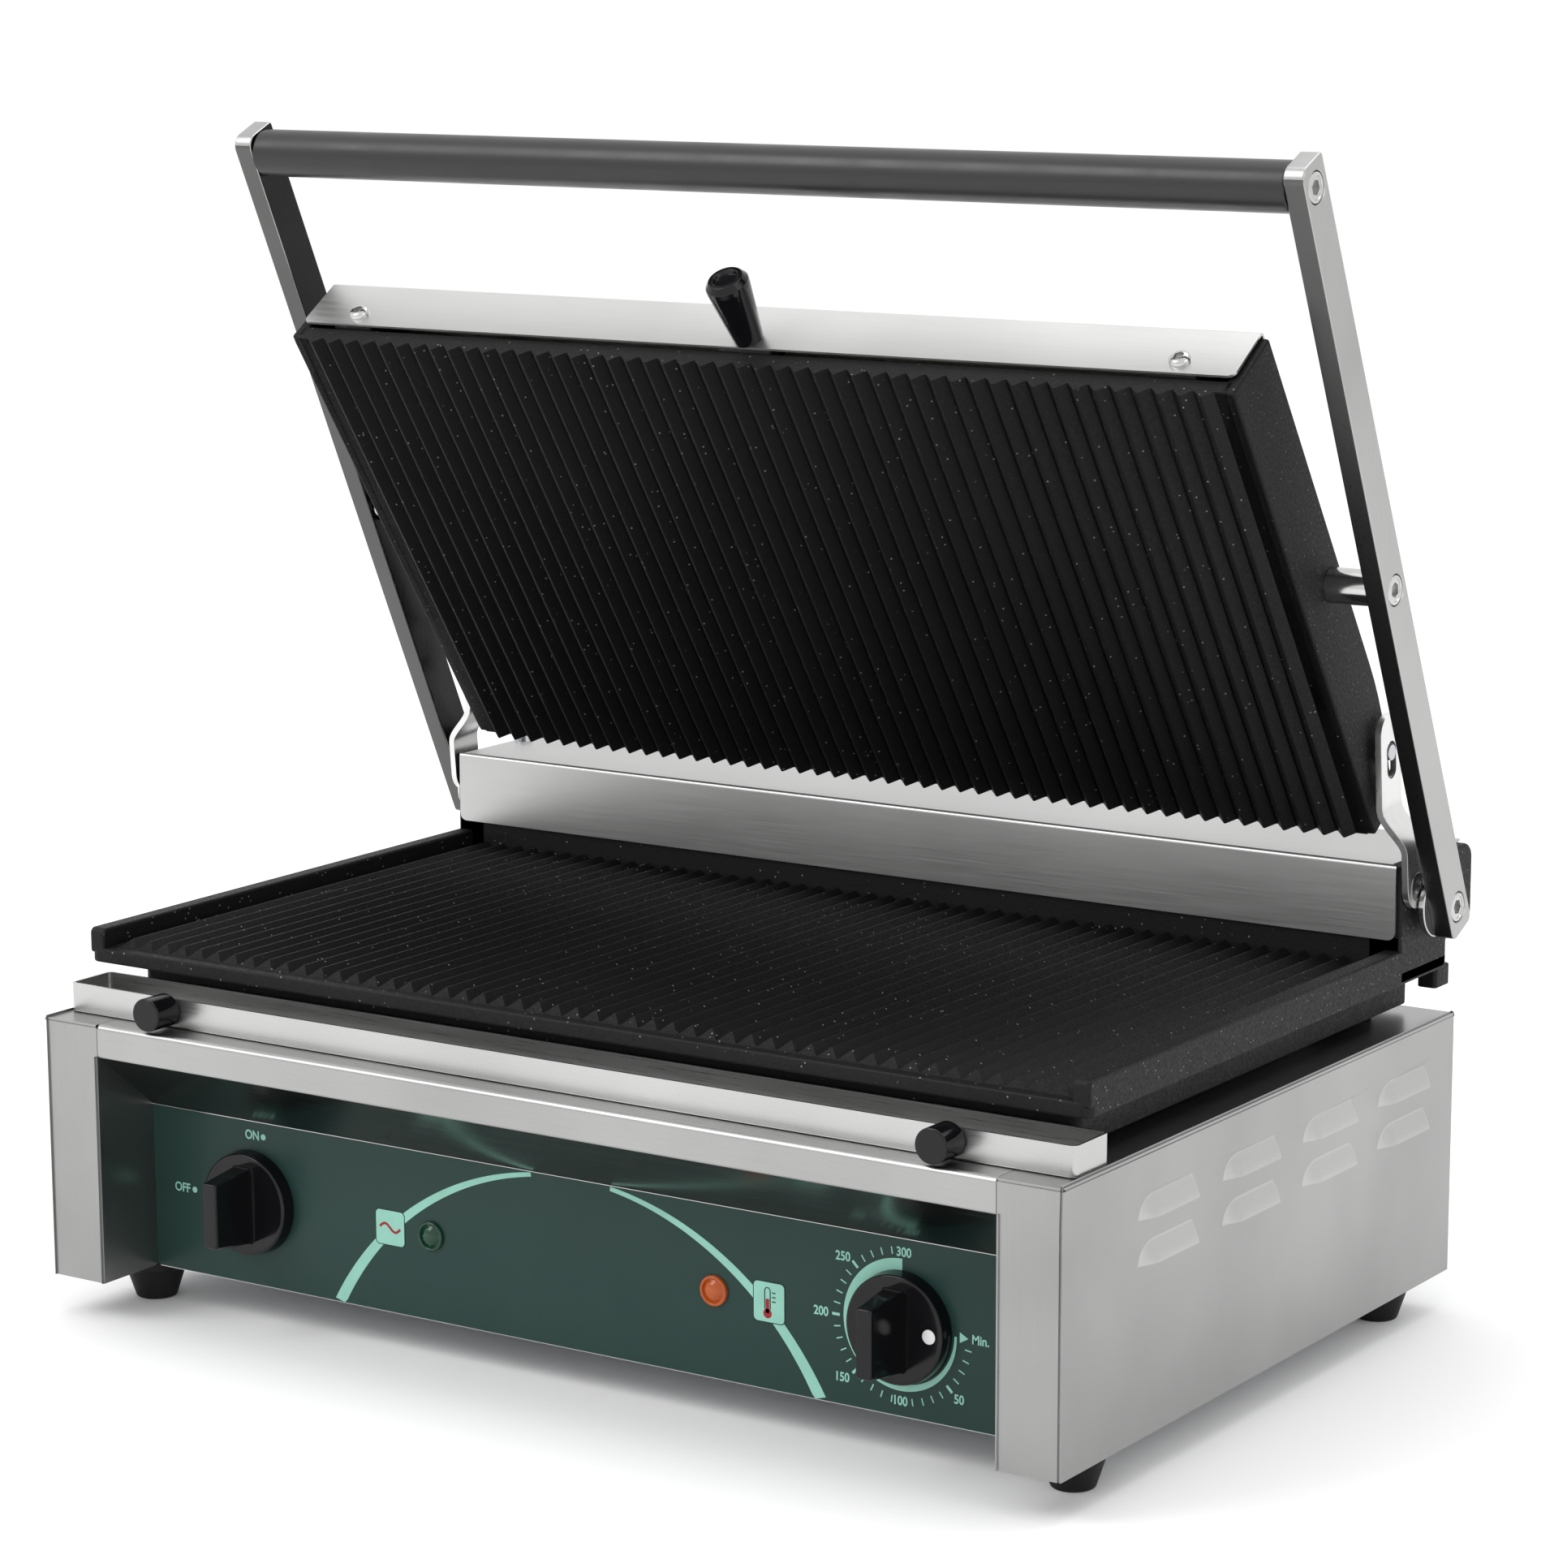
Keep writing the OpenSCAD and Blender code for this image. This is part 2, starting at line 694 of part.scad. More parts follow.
// Wire swept along a path whose points lie in planes across X
function ring_at(p, dir, r, n) = [for (i = [0:n - 1]) let (a = 360 * i / n,
    u = cross(dir, [1, 0, 0]) / norm(cross(dir, [1, 0, 0])), v = cross(dir, u))
    p + r * (cos(a) * u + sin(a) * v)];

module wire(path, r, n) {
    last = len(path) - 1;
    dirs = [for (i = [0:last]) let (d = path[min(i + 1, last)] - path[max(i - 1, 0)]) d / norm(d)];
    points = [for (i = [0:last]) each ring_at(path[i], dirs[i], r, n)];
    polyhedron(points, concat(
        [[for (i = [0:n - 1]) i]],
        [for (k = [0:last - 1], i = [0:n - 1]) let (j = (i + 1) % n)
            [k * n + i, (k + 1) * n + i, (k + 1) * n + j, k * n + j]],
        [[for (i = [n - 1:-1:0]) last * n + i]]));
}

module torsion_springs() color([0.4, 0.4, 0.42]) place() both_sides()
    translate([spring_x, hinge_y, hinge_z]) wire(concat(
        [[0, spring_r, lip_z - hinge_z + spring_wire + 0.3]],
        [for (i = [0:spring_turns * 16]) let (a = -i * 22.5, x = -i / 16 * spring_pitch)
            [x, spring_r * cos(a), -spring_r * sin(a)]],
        [[-spring_turns * spring_pitch - 2, spring_r, -14]]), spring_wire / 2, 8);

module spring_collars() color(polished) place() both_sides() difference() {
    rod_x(12, spring_x - spring_reach - 14, spring_x - spring_reach - 6, hinge_y, hinge_z);
    rod_x(shaft_d / 2, 0, half_w, hinge_y, hinge_z);
    translate([spring_x - spring_reach - 10, hinge_y, hinge_z]) cylinder(r = 2, h = 13);
}

module link_screws() color(polished) place() both_sides() difference() {
    union() {
        rod_x(m6[0], ear_x - ear_w + 1, ear_x + 1, link_y, link_z);
        rod_x(shoulder_r, ear_x, link_out_x + link_t - 0.1, link_y, link_z);
        rod_x(m6[1], link_out_x + link_t - link_sink + 0.1, link_out_x + link_t, link_y, link_z);
    }
    translate([link_out_x + 1, link_y, link_z]) rotate([0, 90, 0])
        cylinder(r = m6[1] * 0.42, h = link_t, $fn = 6);
}

// ---------------------------------------------------------------- drip tray

module tray_outline() {
    translate([0, 0]) square([tray_d - 3, tray_h]);
    translate([0, 3]) square([tray_d, tray_h - 3]);
    translate([tray_d - 3, 3]) circle(3);
}

module drip_tray() color(stainless) place() difference() {
    translate([0, tray_y, body_h]) along_x(-tray_w / 2, tray_w / 2) tray_outline();
    translate([0, tray_y, body_h]) along_x(tray_sheet - tray_w / 2, tray_w / 2 - tray_sheet)
        intersection() {
            translate([tray_sheet, tray_sheet]) square([tray_d - 2 * tray_sheet, tray_h]);
            union() {
                square([tray_d - 3, tray_h + 1]);
                translate([0, 3]) square([tray_d, tray_h]);
                translate([tray_d - 3, 3]) circle(3 - tray_sheet);
            }
        }
    for (x = [-tray_knob_x, tray_knob_x])
        rod_y(m4[0] + screw_fit, tray_y - 1, tray_y + tray_sheet + 1, x, tray_knob_z);
}

module tray_knobs() color(black) place() for (x = [-tray_knob_x, tray_knob_x]) difference() {
    union() {
        rod_y(tray_knob_d / 2 - 0.8, front_y, front_y + 1, x, tray_knob_z);
        translate([x, tray_y, tray_knob_z]) rotate([90, 0, 0])
            cylinder(r = tray_knob_d / 2, h = tray_knob_l - 0.8);
    }
    rod_y(m4[0], front_y + 5, tray_y + 1, x, tray_knob_z);
}

module tray_screws() color(polished) place() for (x = [-tray_knob_x, tray_knob_x])
    translate([x, tray_y + tray_sheet, tray_knob_z]) rotate([-90, 0, 0]) screw(m4, 7);

// ---------------------------------------------------------------- lid arms

// Moves a shape from the arm's frame, with its origin on the hinge and +Z along the arm
module on_arm() place() translate([0, hinge_y, hinge_z]) rotate([lean, 0, 0]) children();

module arm() {
    w = arm_w / 2;
    top = arm_handle + arm_rise;
    difference() {
        along_x(arm_x, arm_x + arm_t) {
            translate([-w, -arm_drop + 3]) square([arm_w, top + arm_drop - 3 - 4]);
            translate([3 - w, -arm_drop]) square([arm_w - 6, 6]);
            for (y = [3 - w, w - 3]) translate([y, 3 - arm_drop]) circle(3);
            translate([4 - w, top - 4]) circle(4);
            translate([4 - w, top - 5]) square([arm_w - 4, 5]);
        }
        rod_x(shaft_d / 2 - 1, arm_x - 1, arm_x + 2);
        for (z = [0, arm_handle]) {
            rod_x(m6[0], arm_x - 1, arm_x + arm_t + 1, 0, z);
            rod_x(m6[1], arm_x + arm_t - m6[2], arm_x + arm_t + 1, 0, z);
        }
        rod_x(journal_r + run_fit, arm_x - 1, arm_x + arm_t + 1, 0, arm_pivot);
        rod_x(head_bore, arm_x + arm_t - m6[2], arm_x + arm_t + 1, 0, arm_pivot);
    }
}

module arm_right() color(stainless) on_arm() arm();

module arm_left() color(stainless) on_arm() mirror([1, 0, 0]) arm();

module hinge_shaft() color(polished) place() difference() {
    union() {
        rod_x(shaft_d / 2, -arm_x, arm_x, hinge_y, hinge_z);
        rod_x(shaft_d / 2 - 1, -arm_x - 2, arm_x + 2, hinge_y, hinge_z);
    }
    both_sides() rod_x(m6[0], arm_x - 14, arm_x + 3, hinge_y, hinge_z);
}

module arm_washers() color(polished) place() both_sides() difference() {
    rod_x(washer_r, arm_x - washer_t, arm_x, hinge_y, hinge_z);
    rod_x(shaft_d / 2, 0, body_w, hinge_y, hinge_z);
}

// Countersunk M6 screw in an arm's outer face, at a height along the arm
module arm_screw(z, length) translate([arm_x + arm_t, 0, z]) rotate([0, 90, 0])
    sunk_screw(m6, length);

module hinge_screws() color(polished) on_arm() both_sides() arm_screw(0, 21);

module handle_screws() color(polished) on_arm() both_sides() arm_screw(arm_handle, 24);

module handle_rod() color(polished) on_arm() difference() {
    rod_x(handle_core, -handle_end, handle_end, 0, arm_handle);
    both_sides() rod_x(m6[0], handle_end - 17, handle_end + 1, 0, arm_handle);
}

module handle_grip() color(black) on_arm() difference() {
    rod_x(handle_d / 2, -handle_end, handle_end, 0, arm_handle);
    rod_x(handle_core, -half_w * 2, half_w * 2, 0, arm_handle);
}

// ---------------------------------------------------------------- upper plate

// Moves a shape from the upper plate's frame to where the plate hangs when open
module on_plate() place() translate([0, pivot_y, pivot_z]) rotate([-plate_tilt, 0, 0])
    translate([0, -pivot_s, -pivot_t]) children();

module wall_outline(drop) {
    top = upper_wall_h - drop;
    back = wall_back_t - drop;
    polygon([[3, rib_h], [upper_d, rib_h], [upper_d, back - 8],
        for (a = [0:22.5:67.5]) [upper_d - 8 + 8 * cos(a), back - 8 + 8 * sin(a)],
        for (k = [0:4]) [wall_flat + (upper_d - 14 - wall_flat) * (1 - k / 4),
            top - (top - back) * pow(1 - k / 4, 2)],
        [0, top], [0, rib_h]]);
}

module upper_plate() color(iron) on_plate() difference() {
    union() {
        translate([0, upper_d / 2, rib_h])
            linear_extrude(upper_t - rib_h) round_rect(upper_w, upper_d, 3);
        translate([0, upper_d, rib_h]) rotate([-90, 0, 180]) mirror([0, 0, 1])
            translate([0, 0, -upper_d]) linear_extrude(upper_d)
                rib_outline(upper_w - 6.8, rib_pitch, rib_h, valley);
        both_sides() {
            along_x(upper_w / 2 - upper_wall, upper_w / 2) wall_outline(0);
            block([cover_screw_x - 9, cover_s + cover_t, upper_t], [cover_screw_x + 9, 14, 27]);
            block([upper_w / 2 - upper_wall - 8, pivot_s - 12, upper_t - 1],
                [upper_w / 2 - 1, pivot_s + 12, upper_wall_h - 0.5]);
        }
        block([4 - upper_w / 2, upper_d - upper_wall, upper_t - 1],
            [upper_w / 2 - 4, upper_d, 14]);
        for (x = clamp_x, y = [-clamp_s, clamp_s])
            translate([x, upper_mid + y, upper_t - 1]) cylinder(r = 6, h = 2 * heater_r + 1);
        translate([lift_x - 12, cover_s + cover_t, upper_t - 1]) cube([24, 7, 13]);
    }
    both_sides() {
        rod_x(m6[0], upper_w / 2 - upper_wall - 9, upper_w, pivot_s, pivot_t);
        rod_x(m4[0], upper_w / 2 - upper_wall - 1, upper_w, pin_s, pin_t);
        translate([cover_screw_x, cover_s, cover_screw_t]) rod_y(m4[0], -1, 9);
    }
    translate([lift_x, 0, lift_t]) rod_y(m6[0], cover_s, 8);
}

module upper_cover() color(stainless) on_plate() difference() {
    union() {
        translate([0, cover_s + cover_t, (cover_low_t + upper_wall_h + cover_t) / 2])
            rotate([90, 0, 0]) linear_extrude(cover_t)
                round_rect(cover_w, upper_wall_h + cover_t - cover_low_t, 3);
        block([-cover_w / 2, cover_s, upper_wall_h - 4],
            [cover_w / 2, cover_s + cover_t, upper_wall_h + cover_t]);
        along_x(-cover_w / 2, cover_w / 2) difference() {
            translate([0, cover_t]) wall_cap();
            wall_cap();
        }
        block([-cover_w / 2, cover_s + cover_t / 2, upper_wall_h],
            [cover_w / 2, 1, upper_wall_h + cover_t]);
    }
    for (x = [-cover_screw_x, cover_screw_x]) translate([x, 0, cover_screw_t])
        rod_y(m4[0] + screw_fit, cover_s - 1, cover_s + cover_t + 0.1);
    translate([lift_x, 0, lift_t]) rod_y(m6[0] + screw_fit, cover_s - 1, cover_s + cover_t + 0.1);
}

// Top of the side walls' outline, with everything under it
module wall_cap() intersection() {
    wall_outline(0);
    translate([0, rib_h]) square([upper_d, upper_wall_h]);
}

module cover_screws() color(polished) on_plate() for (x = [-cover_screw_x, cover_screw_x])
    translate([x, cover_s, cover_screw_t]) rotate([90, 0, 0]) screw(m4, 9);

module lift_knob() color(black) on_plate() translate([lift_x, cover_s, lift_t]) rotate([90, 0, 0])
    difference() {
        rotate_extrude() polygon([[0, 0], [5.5, 0], [8.15, lift_l - 4], [8.15, lift_l - 2],
            [6.4, lift_l], [5, lift_l], [4.4, lift_l - 1], [0, lift_l - 1]]);
        translate([0, 0, -1]) cylinder(r = m6[0], h = 15);
    }

module lift_stud() color(polished) on_plate()
    translate([lift_x, 0, lift_t]) rod_y(m6[0], cover_s - 13, 6);

module upper_heater() color([0.25, 0.2, 0.18]) on_plate()
    translate([heater_x, upper_mid, 0]) heater(upper_t + heater_r, 13);

module upper_clamps() color(stainless) on_plate() for (x = clamp_x) difference() {
    block([x - 9, upper_mid - upper_bar, upper_t + 2 * heater_r],
        [x + 9, upper_mid + upper_bar, upper_t + 2 * heater_r + clamp_t]);
    for (y = [-clamp_s, clamp_s])
        translate([x, upper_mid + y, upper_t]) cylinder(r = m5[0], h = 20);
}

module upper_insulation() color([0.85, 0.83, 0.78]) on_plate() difference() {
    low = upper_t + 2 * heater_r + clamp_t;
    block([-178, 22, low], [178, 146, upper_wall_h - 1]);
    translate([heater_x - heater_leg / 2, upper_mid, 0]) for (row = [-1, 1], leg = [-1, 1])
        translate([0, row * heater_gap + leg * heater_gap / 4, 0])
            cylinder(r = heater_r + 1, h = 60);
}

module plate_spacers() color(polished) on_plate() both_sides() difference() {
    union() {
        rod_x(spacer_r, upper_w / 2, arm_x - 0.05, pivot_s, pivot_t);
        rod_x(journal_r, arm_x - 1, arm_x + arm_t - m6[2], pivot_s, pivot_t);
    }
    rod_x(m6[0], upper_w / 2 - 1, arm_x + arm_t, pivot_s, pivot_t);
}

module pivot_bolts() color(polished) on_plate() both_sides()
    translate([arm_x + arm_t, pivot_s, pivot_t]) rotate([0, 90, 0])
        sunk_screw([m6[0], m6[1], m6[2]], arm_x + arm_t - upper_w / 2 + 11);

module link_pins() color(polished) on_plate() both_sides() {
    rod_x(pin_r, upper_w / 2 + 1.2, link_in_x + link_t + 0.4, pin_s, pin_t);
    rod_x(4.5, upper_w / 2, upper_w / 2 + 1.3, pin_s, pin_t);
    rod_x(m4[0], upper_w / 2 - upper_wall, upper_w / 2 + 1, pin_s, pin_t);
}

// ---------------------------------------------------------------- slotted links

// Flat strap with a joggle: its lower end lies outside the hinge ear, its slot beside the plate
module link() place() translate([0, link_y, link_z]) rotate([link_lean, 0, 0]) difference() {
    intersection() {
        along_x(0, half_w) slot_2d(0, slot_to + 6, link_w);
        translate([0, link_w, 0]) rotate([90, 0, 0]) linear_extrude(2 * link_w) polygon([
            [link_out_x, -link_w], [link_out_x + link_t, -link_w], [link_out_x + link_t, jog_start],
            [link_in_x + link_t, jog_end], [link_in_x + link_t, 90], [link_in_x, 90],
            [link_in_x, jog_end], [link_out_x, jog_start]]);
    }
    rod_x(shoulder_r + run_fit, 0, half_w);
    rod_x(m6[1] + run_fit, link_out_x + link_t - link_sink, half_w);
    along_x(0, half_w) translate([slot_shift, 0]) slot_2d(slot_from, slot_to, slot_w);
}

module link_right() color(stainless) link();

module link_left() color(stainless) mirror([1, 0, 0]) link();

housing_shell();
front_frame();
control_panel();
base_plate();
back_panel();
feet();
feet_screws();
panel_screws();
lower_plate();
plate_bolts();
lower_heater();
lower_clamps();
lower_insulation();
thermostat_bulb();
thermostat_body();
switch_body();
lamp_green();
lamp_orange();
lamp_sockets();
terminal_block();
cable_gland();
feed_gland();
splash_cover();
splash_screws();
hinge_bushes();
torsion_springs();
link_screws();
drip_tray();
tray_knobs();
tray_screws();
power_knob();
power_spindle();
thermostat_knob();
thermostat_dot();
thermostat_spindle();
arm_left();
arm_right();
hinge_shaft();
arm_washers();
hinge_screws();
spring_collars();
handle_rod();
handle_grip();
handle_screws();
upper_plate();
upper_cover();
cover_screws();
lift_knob();
lift_stud();
upper_heater();
upper_clamps();
upper_insulation();
plate_spacers();
pivot_bolts();
link_pins();
link_left();
link_right();
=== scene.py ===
import math

import bmesh
import bpy
from mathutils import Matrix, Vector


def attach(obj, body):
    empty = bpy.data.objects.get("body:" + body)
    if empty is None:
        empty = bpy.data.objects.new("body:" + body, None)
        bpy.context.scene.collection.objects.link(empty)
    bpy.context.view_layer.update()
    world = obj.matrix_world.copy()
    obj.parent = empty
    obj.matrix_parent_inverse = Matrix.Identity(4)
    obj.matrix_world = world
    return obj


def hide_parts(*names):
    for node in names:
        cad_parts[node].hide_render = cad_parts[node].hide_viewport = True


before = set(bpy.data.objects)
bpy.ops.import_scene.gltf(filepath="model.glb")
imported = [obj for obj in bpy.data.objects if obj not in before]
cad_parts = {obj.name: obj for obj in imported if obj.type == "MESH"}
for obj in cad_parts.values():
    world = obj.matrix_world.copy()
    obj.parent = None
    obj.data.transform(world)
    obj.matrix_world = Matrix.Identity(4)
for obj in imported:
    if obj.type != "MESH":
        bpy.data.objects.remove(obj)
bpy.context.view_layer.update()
print("frame loaded")

# places: every shape is drawn in millimetres in its own frame, then moved to the object's

housing = {"midY": 154.5, "foot": 15, "halfWidth": 220, "depth": 291, "height": 100}
lid = {"hingeY": 269.2, "hingeZ": 145.6, "lean": 25, "pivot": 137.4, "handle": 296,
       "tilt": 56.1, "pivotS": 104, "pivotT": 24.2}
linkSize = {"y": 257.6, "z": 154, "lean": 5.1, "inner": 207.4, "outer": 217.3, "thick": 2.5,
            "width": 16, "jogFrom": 14, "jogTo": 30, "slotFrom": 43.6, "slotTo": 50.6,
            "slotWidth": 7.2, "slotShift": 0.4, "edge": 0.5}

lean = math.radians(lid["lean"])
toHousing = Matrix.Scale(0.001, 4) @ Matrix.Translation((0, -housing["midY"], housing["foot"]))
toArm = (toHousing @ Matrix.Translation((0, lid["hingeY"], lid["hingeZ"]))
         @ Matrix.Rotation(lean, 4, "X"))
toPlate = (toHousing @ Matrix.Translation((0, lid["hingeY"] - lid["pivot"] * math.sin(lean),
                                           lid["hingeZ"] + lid["pivot"] * math.cos(lean)))
           @ Matrix.Rotation(-math.radians(lid["tilt"]), 4, "X")
           @ Matrix.Translation((0, -lid["pivotS"], -lid["pivotT"])))
toLink = (toHousing @ Matrix.Translation((0, linkSize["y"], linkSize["z"]))
          @ Matrix.Rotation(math.radians(linkSize["lean"]), 4, "X"))


# shape tools

def spot(axis, a, b, along):  # a point from two numbers across an axis and one along it
    return {"x": (along, a, b), "y": (a, along, b), "z": (a, b, along)}[axis]


def closeUp(build):
    bmesh.ops.recalc_face_normals(build, faces=build.faces)
    return build


def prism(outline, low, high, axis):  # closed solid from an outline
    build = bmesh.new()
    rings = [[build.verts.new(spot(axis, a, b, h)) for a, b in outline] for h in (low, high)]
    for ring in rings:
        build.faces.new(ring)
    for i in range(len(outline)):
        j = (i + 1) % len(outline)
        build.faces.new((rings[0][i], rings[0][j], rings[1][j], rings[1][i]))
    return closeUp(build)


def stacked(outlines, axis):  # closed solid through outlines with equal counts: (height, outline)
    build = bmesh.new()
    rings = [[build.verts.new(spot(axis, a, b, h)) for a, b in outline] for h, outline in outlines]
    for low, high in zip(rings, rings[1:]):
        for i in range(len(low)):
            j = (i + 1) % len(low)
            build.faces.new((low[i], low[j], high[j], high[i]))
    build.faces.new(rings[0])
    build.faces.new(rings[-1])
    return closeUp(build)


def turned(profile, axis, at=(0, 0, 0), segments=56, tube=False):  # lathe: (radius, along)
    build = bmesh.new()
    rings = []
    for radius, along in profile:
        count = 1 if radius < 1e-6 else segments
        turns = [2 * math.pi * k / segments for k in range(count)]
        rings.append([build.verts.new(Vector(spot(axis, radius * math.cos(t), radius * math.sin(t),
                                                  along)) + Vector(at)) for t in turns])
    pairs = list(zip(rings, rings[1:])) + ([(rings[-1], rings[0])] if tube else [])
    for a, b in pairs:
        for k in range(segments):
            j = (k + 1) % segments
            corners = [a[k % len(a)], a[j % len(a)], b[j % len(b)], b[k % len(b)]]
            corners = list(dict.fromkeys(corners))
            if len(corners) > 2:
                build.faces.new(corners)
    if not tube:
        for ring in (rings[0], rings[-1]):
            if len(ring) > 1:
                build.faces.new(ring)
    return closeUp(build)


def rounded(points, radii, steps=5, closed=True):  # the same points with arcs at the corners
    out = []
    count = len(points)
    for i, here in enumerate(points):
        radius = radii[i] if isinstance(radii, (list, tuple)) else radii
        if radius <= 0 or (not closed and i in (0, count - 1)):
            out.append(tuple(here))
            continue
        corner = Vector(here)
        back, onward = Vector(points[i - 1]) - corner, Vector(points[(i + 1) % count]) - corner
        half = back.angle(onward) / 2
        reach = min(radius / math.tan(half), back.length * 0.499, onward.length * 0.499)
        bend = reach * math.tan(half)
        back.normalize()
        onward.normalize()
        middle = corner + (back + onward).normalized() * (bend / math.sin(half))
        start, end = corner + back * reach - middle, corner + onward * reach - middle
        for k in range(steps + 1):
            out.append(tuple(middle + start.lerp(end, k / steps).normalized() * bend))
    return out


def box2d(x0, x1, y0, y1):
    return [(x0, y0), (x1, y0), (x1, y1), (x0, y1)]


def soften(build, width, steps=2, angle=30, pick=None):  # rounds the edges sharper than an angle
    limit = math.radians(angle)
    edges = [e for e in build.edges if len(e.link_faces) == 2 and e.calc_face_angle(0) > limit
             and (pick is None or pick(*[v.co for v in e.verts]))]
    bmesh.ops.bevel(build, geom=edges, offset=width, offset_type="OFFSET", segments=steps,
                    profile=0.5, affect="EDGES", clamp_overlap=True)
    return build


def mirrored(build):  # a copy on the other side of the middle
    other = build.copy()
    bmesh.ops.scale(other, vec=(-1, 1, 1), verts=other.verts)
    bmesh.ops.reverse_faces(other, faces=other.faces)
    return other


def moved(build, x=0, y=0, z=0):
    bmesh.ops.translate(build, vec=(x, y, z), verts=build.verts)
    return build


def bentSheet(path, widths, thick):  # folded sheet along a path of (y, z), left to right per point
    count = len(path)
    points = [Vector(p) for p in path]
    inner = []
    for i, here in enumerate(points):
        sides = []
        if i > 0:
            sides.append((here - points[i - 1]).normalized())
        if i < count - 1:
            sides.append((points[i + 1] - here).normalized())
        normals = [Vector((-d.y, d.x)) for d in sides]
        middle = sum(normals, Vector((0, 0))).normalized()
        inner.append(here + middle * (thick / max(0.3, middle.dot(normals[0]))))
    build = bmesh.new()
    rows = [[[build.verts.new((x, p.x, p.y)) for x in widths[i]] for p in (points[i], inner[i])]
            for i in range(count)]
    for (outA, inA), (outB, inB) in zip(rows, rows[1:]):
        build.faces.new((outA[0], outA[1], outB[1], outB[0]))
        build.faces.new((inA[0], inB[0], inB[1], inA[1]))
        build.faces.new((outA[0], outB[0], inB[0], inA[0]))
        build.faces.new((outA[1], inA[1], inB[1], outB[1]))
    for out, ins in (rows[0], rows[-1]):
        build.faces.new((out[0], ins[0], ins[1], out[1]))
    return closeUp(build)


def gathered(builds):  # several shapes in one
    whole = bmesh.new()
    for build in builds:
        part = bpy.data.meshes.new("part")
        build.to_mesh(part)
        whole.from_mesh(part)
        bpy.data.meshes.remove(part)
        build.free()
    return whole


def settle(obj):  # turns the modifiers' result into the mesh itself
    fixed = bpy.data.meshes.new_from_object(
        obj.evaluated_get(bpy.context.evaluated_depsgraph_get()))
    obj.modifiers.clear()
    obj.data = fixed
    return obj


def tool(obj, kind, **settings):
    modifier = obj.modifiers.new(kind.title(), kind)
    for name, value in settings.items():
        setattr(modifier, name, value)
    bpy.context.view_layer.update()
    return obj


def rawPiece(name, builds):
    mesh = bpy.data.meshes.new(name)
    gathered(builds).to_mesh(mesh)
    obj = bpy.data.objects.new(name, mesh)
    bpy.context.scene.collection.objects.link(obj)
    return obj


def dress(obj, place, finishes, body, stands=(), crease=35, paint=None):
    if not isinstance(finishes, (list, tuple)):
        finishes = [finishes]
    for finish in finishes:
        obj.data.materials.append(finish)
    for face in obj.data.polygons if paint else ():
        face.material_index = paint(face)
    obj.data.transform(place)
    obj.data.polygons.foreach_set("use_smooth", [True] * len(obj.data.polygons))
    obj.data.set_sharp_from_angle(angle=math.radians(crease))
    tool(obj, "WEIGHTED_NORMAL", keep_sharp=True)
    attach(obj, body)
    if stands:
        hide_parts(*stands)
    return obj


def makePiece(name, builds, place, finishes, body, stands=(), crease=35):
    return dress(rawPiece(name, builds), place, finishes, body, stands, crease)


# shader groups

def newGroup(name, inputs, outputs):
    group = bpy.data.node_groups.new(name, "ShaderNodeTree")
    for label, kind, start in inputs:
        socket = group.interface.new_socket(name=label, in_out="INPUT", socket_type=kind)
        if start is not None:
            socket.default_value = start
    for label, kind in outputs:
        group.interface.new_socket(name=label, in_out="OUTPUT", socket_type=kind)
    return group, group.nodes.new("NodeGroupInput"), group.nodes.new("NodeGroupOutput")


def node(tree, kind, settings=None, **inputs):
    made = tree.nodes.new(kind)
    for name, value in (settings or {}).items():
        setattr(made, name, value)
    for name, value in inputs.items():
        socket = made.inputs[name.replace("_", " ")]
        if isinstance(value, bpy.types.NodeSocket):
            tree.links.new(value, socket)
        else:
            socket.default_value = value
    return made


def ramp(tree, value, low, high, toLow, toHigh):  # value from low..high to toLow..toHigh, held
    made = tree.nodes.new("ShaderNodeMapRange")
    made.clamp = True
    tree.links.new(value, made.inputs["Value"])
    for name, number in (("From Min", low), ("From Max", high), ("To Min", toLow),
                         ("To Max", toHigh)):
        socket = made.inputs[name]
        if isinstance(number, bpy.types.NodeSocket):
            tree.links.new(number, socket)
        else:
            socket.default_value = number
    return made.outputs["Result"]


def mixColour(tree, factor, a, b, blend="MIX"):
    made = tree.nodes.new("ShaderNodeMix")
    made.data_type = "RGBA"
    made.blend_type = blend
    for socket, value in ((made.inputs[0], factor), (made.inputs[6], a), (made.inputs[7], b)):
        if isinstance(value, bpy.types.NodeSocket):
            tree.links.new(value, socket)
        else:
            socket.default_value = value
    return made.outputs[2]


def makeBrushing():  # fine straight scratches with soft cloudy patches between them
    group, given, result = newGroup(
        "brushing", [("Stretch", "NodeSocketVector", (400, 8, 400)),
                     ("Patch Size", "NodeSocketFloat", 9)],
        [("Lines", "NodeSocketFloat"), ("Patches", "NodeSocketFloat")])
    where = node(group, "ShaderNodeTexCoord").outputs["Object"]
    stretched = node(group, "ShaderNodeVectorMath", {"operation": "MULTIPLY"})
    group.links.new(where, stretched.inputs[0])
    group.links.new(given.outputs["Stretch"], stretched.inputs[1])
    lines = node(group, "ShaderNodeTexNoise", Vector=stretched.outputs[0], Scale=6.0, Detail=5.0,
                 Roughness=0.7)
    patches = node(group, "ShaderNodeTexNoise", Vector=where, Scale=given.outputs["Patch Size"],
                   Detail=3.0, Roughness=0.5)
    group.links.new(lines.outputs["Fac"], result.inputs["Lines"])
    group.links.new(patches.outputs["Fac"], result.inputs["Patches"])
    return group


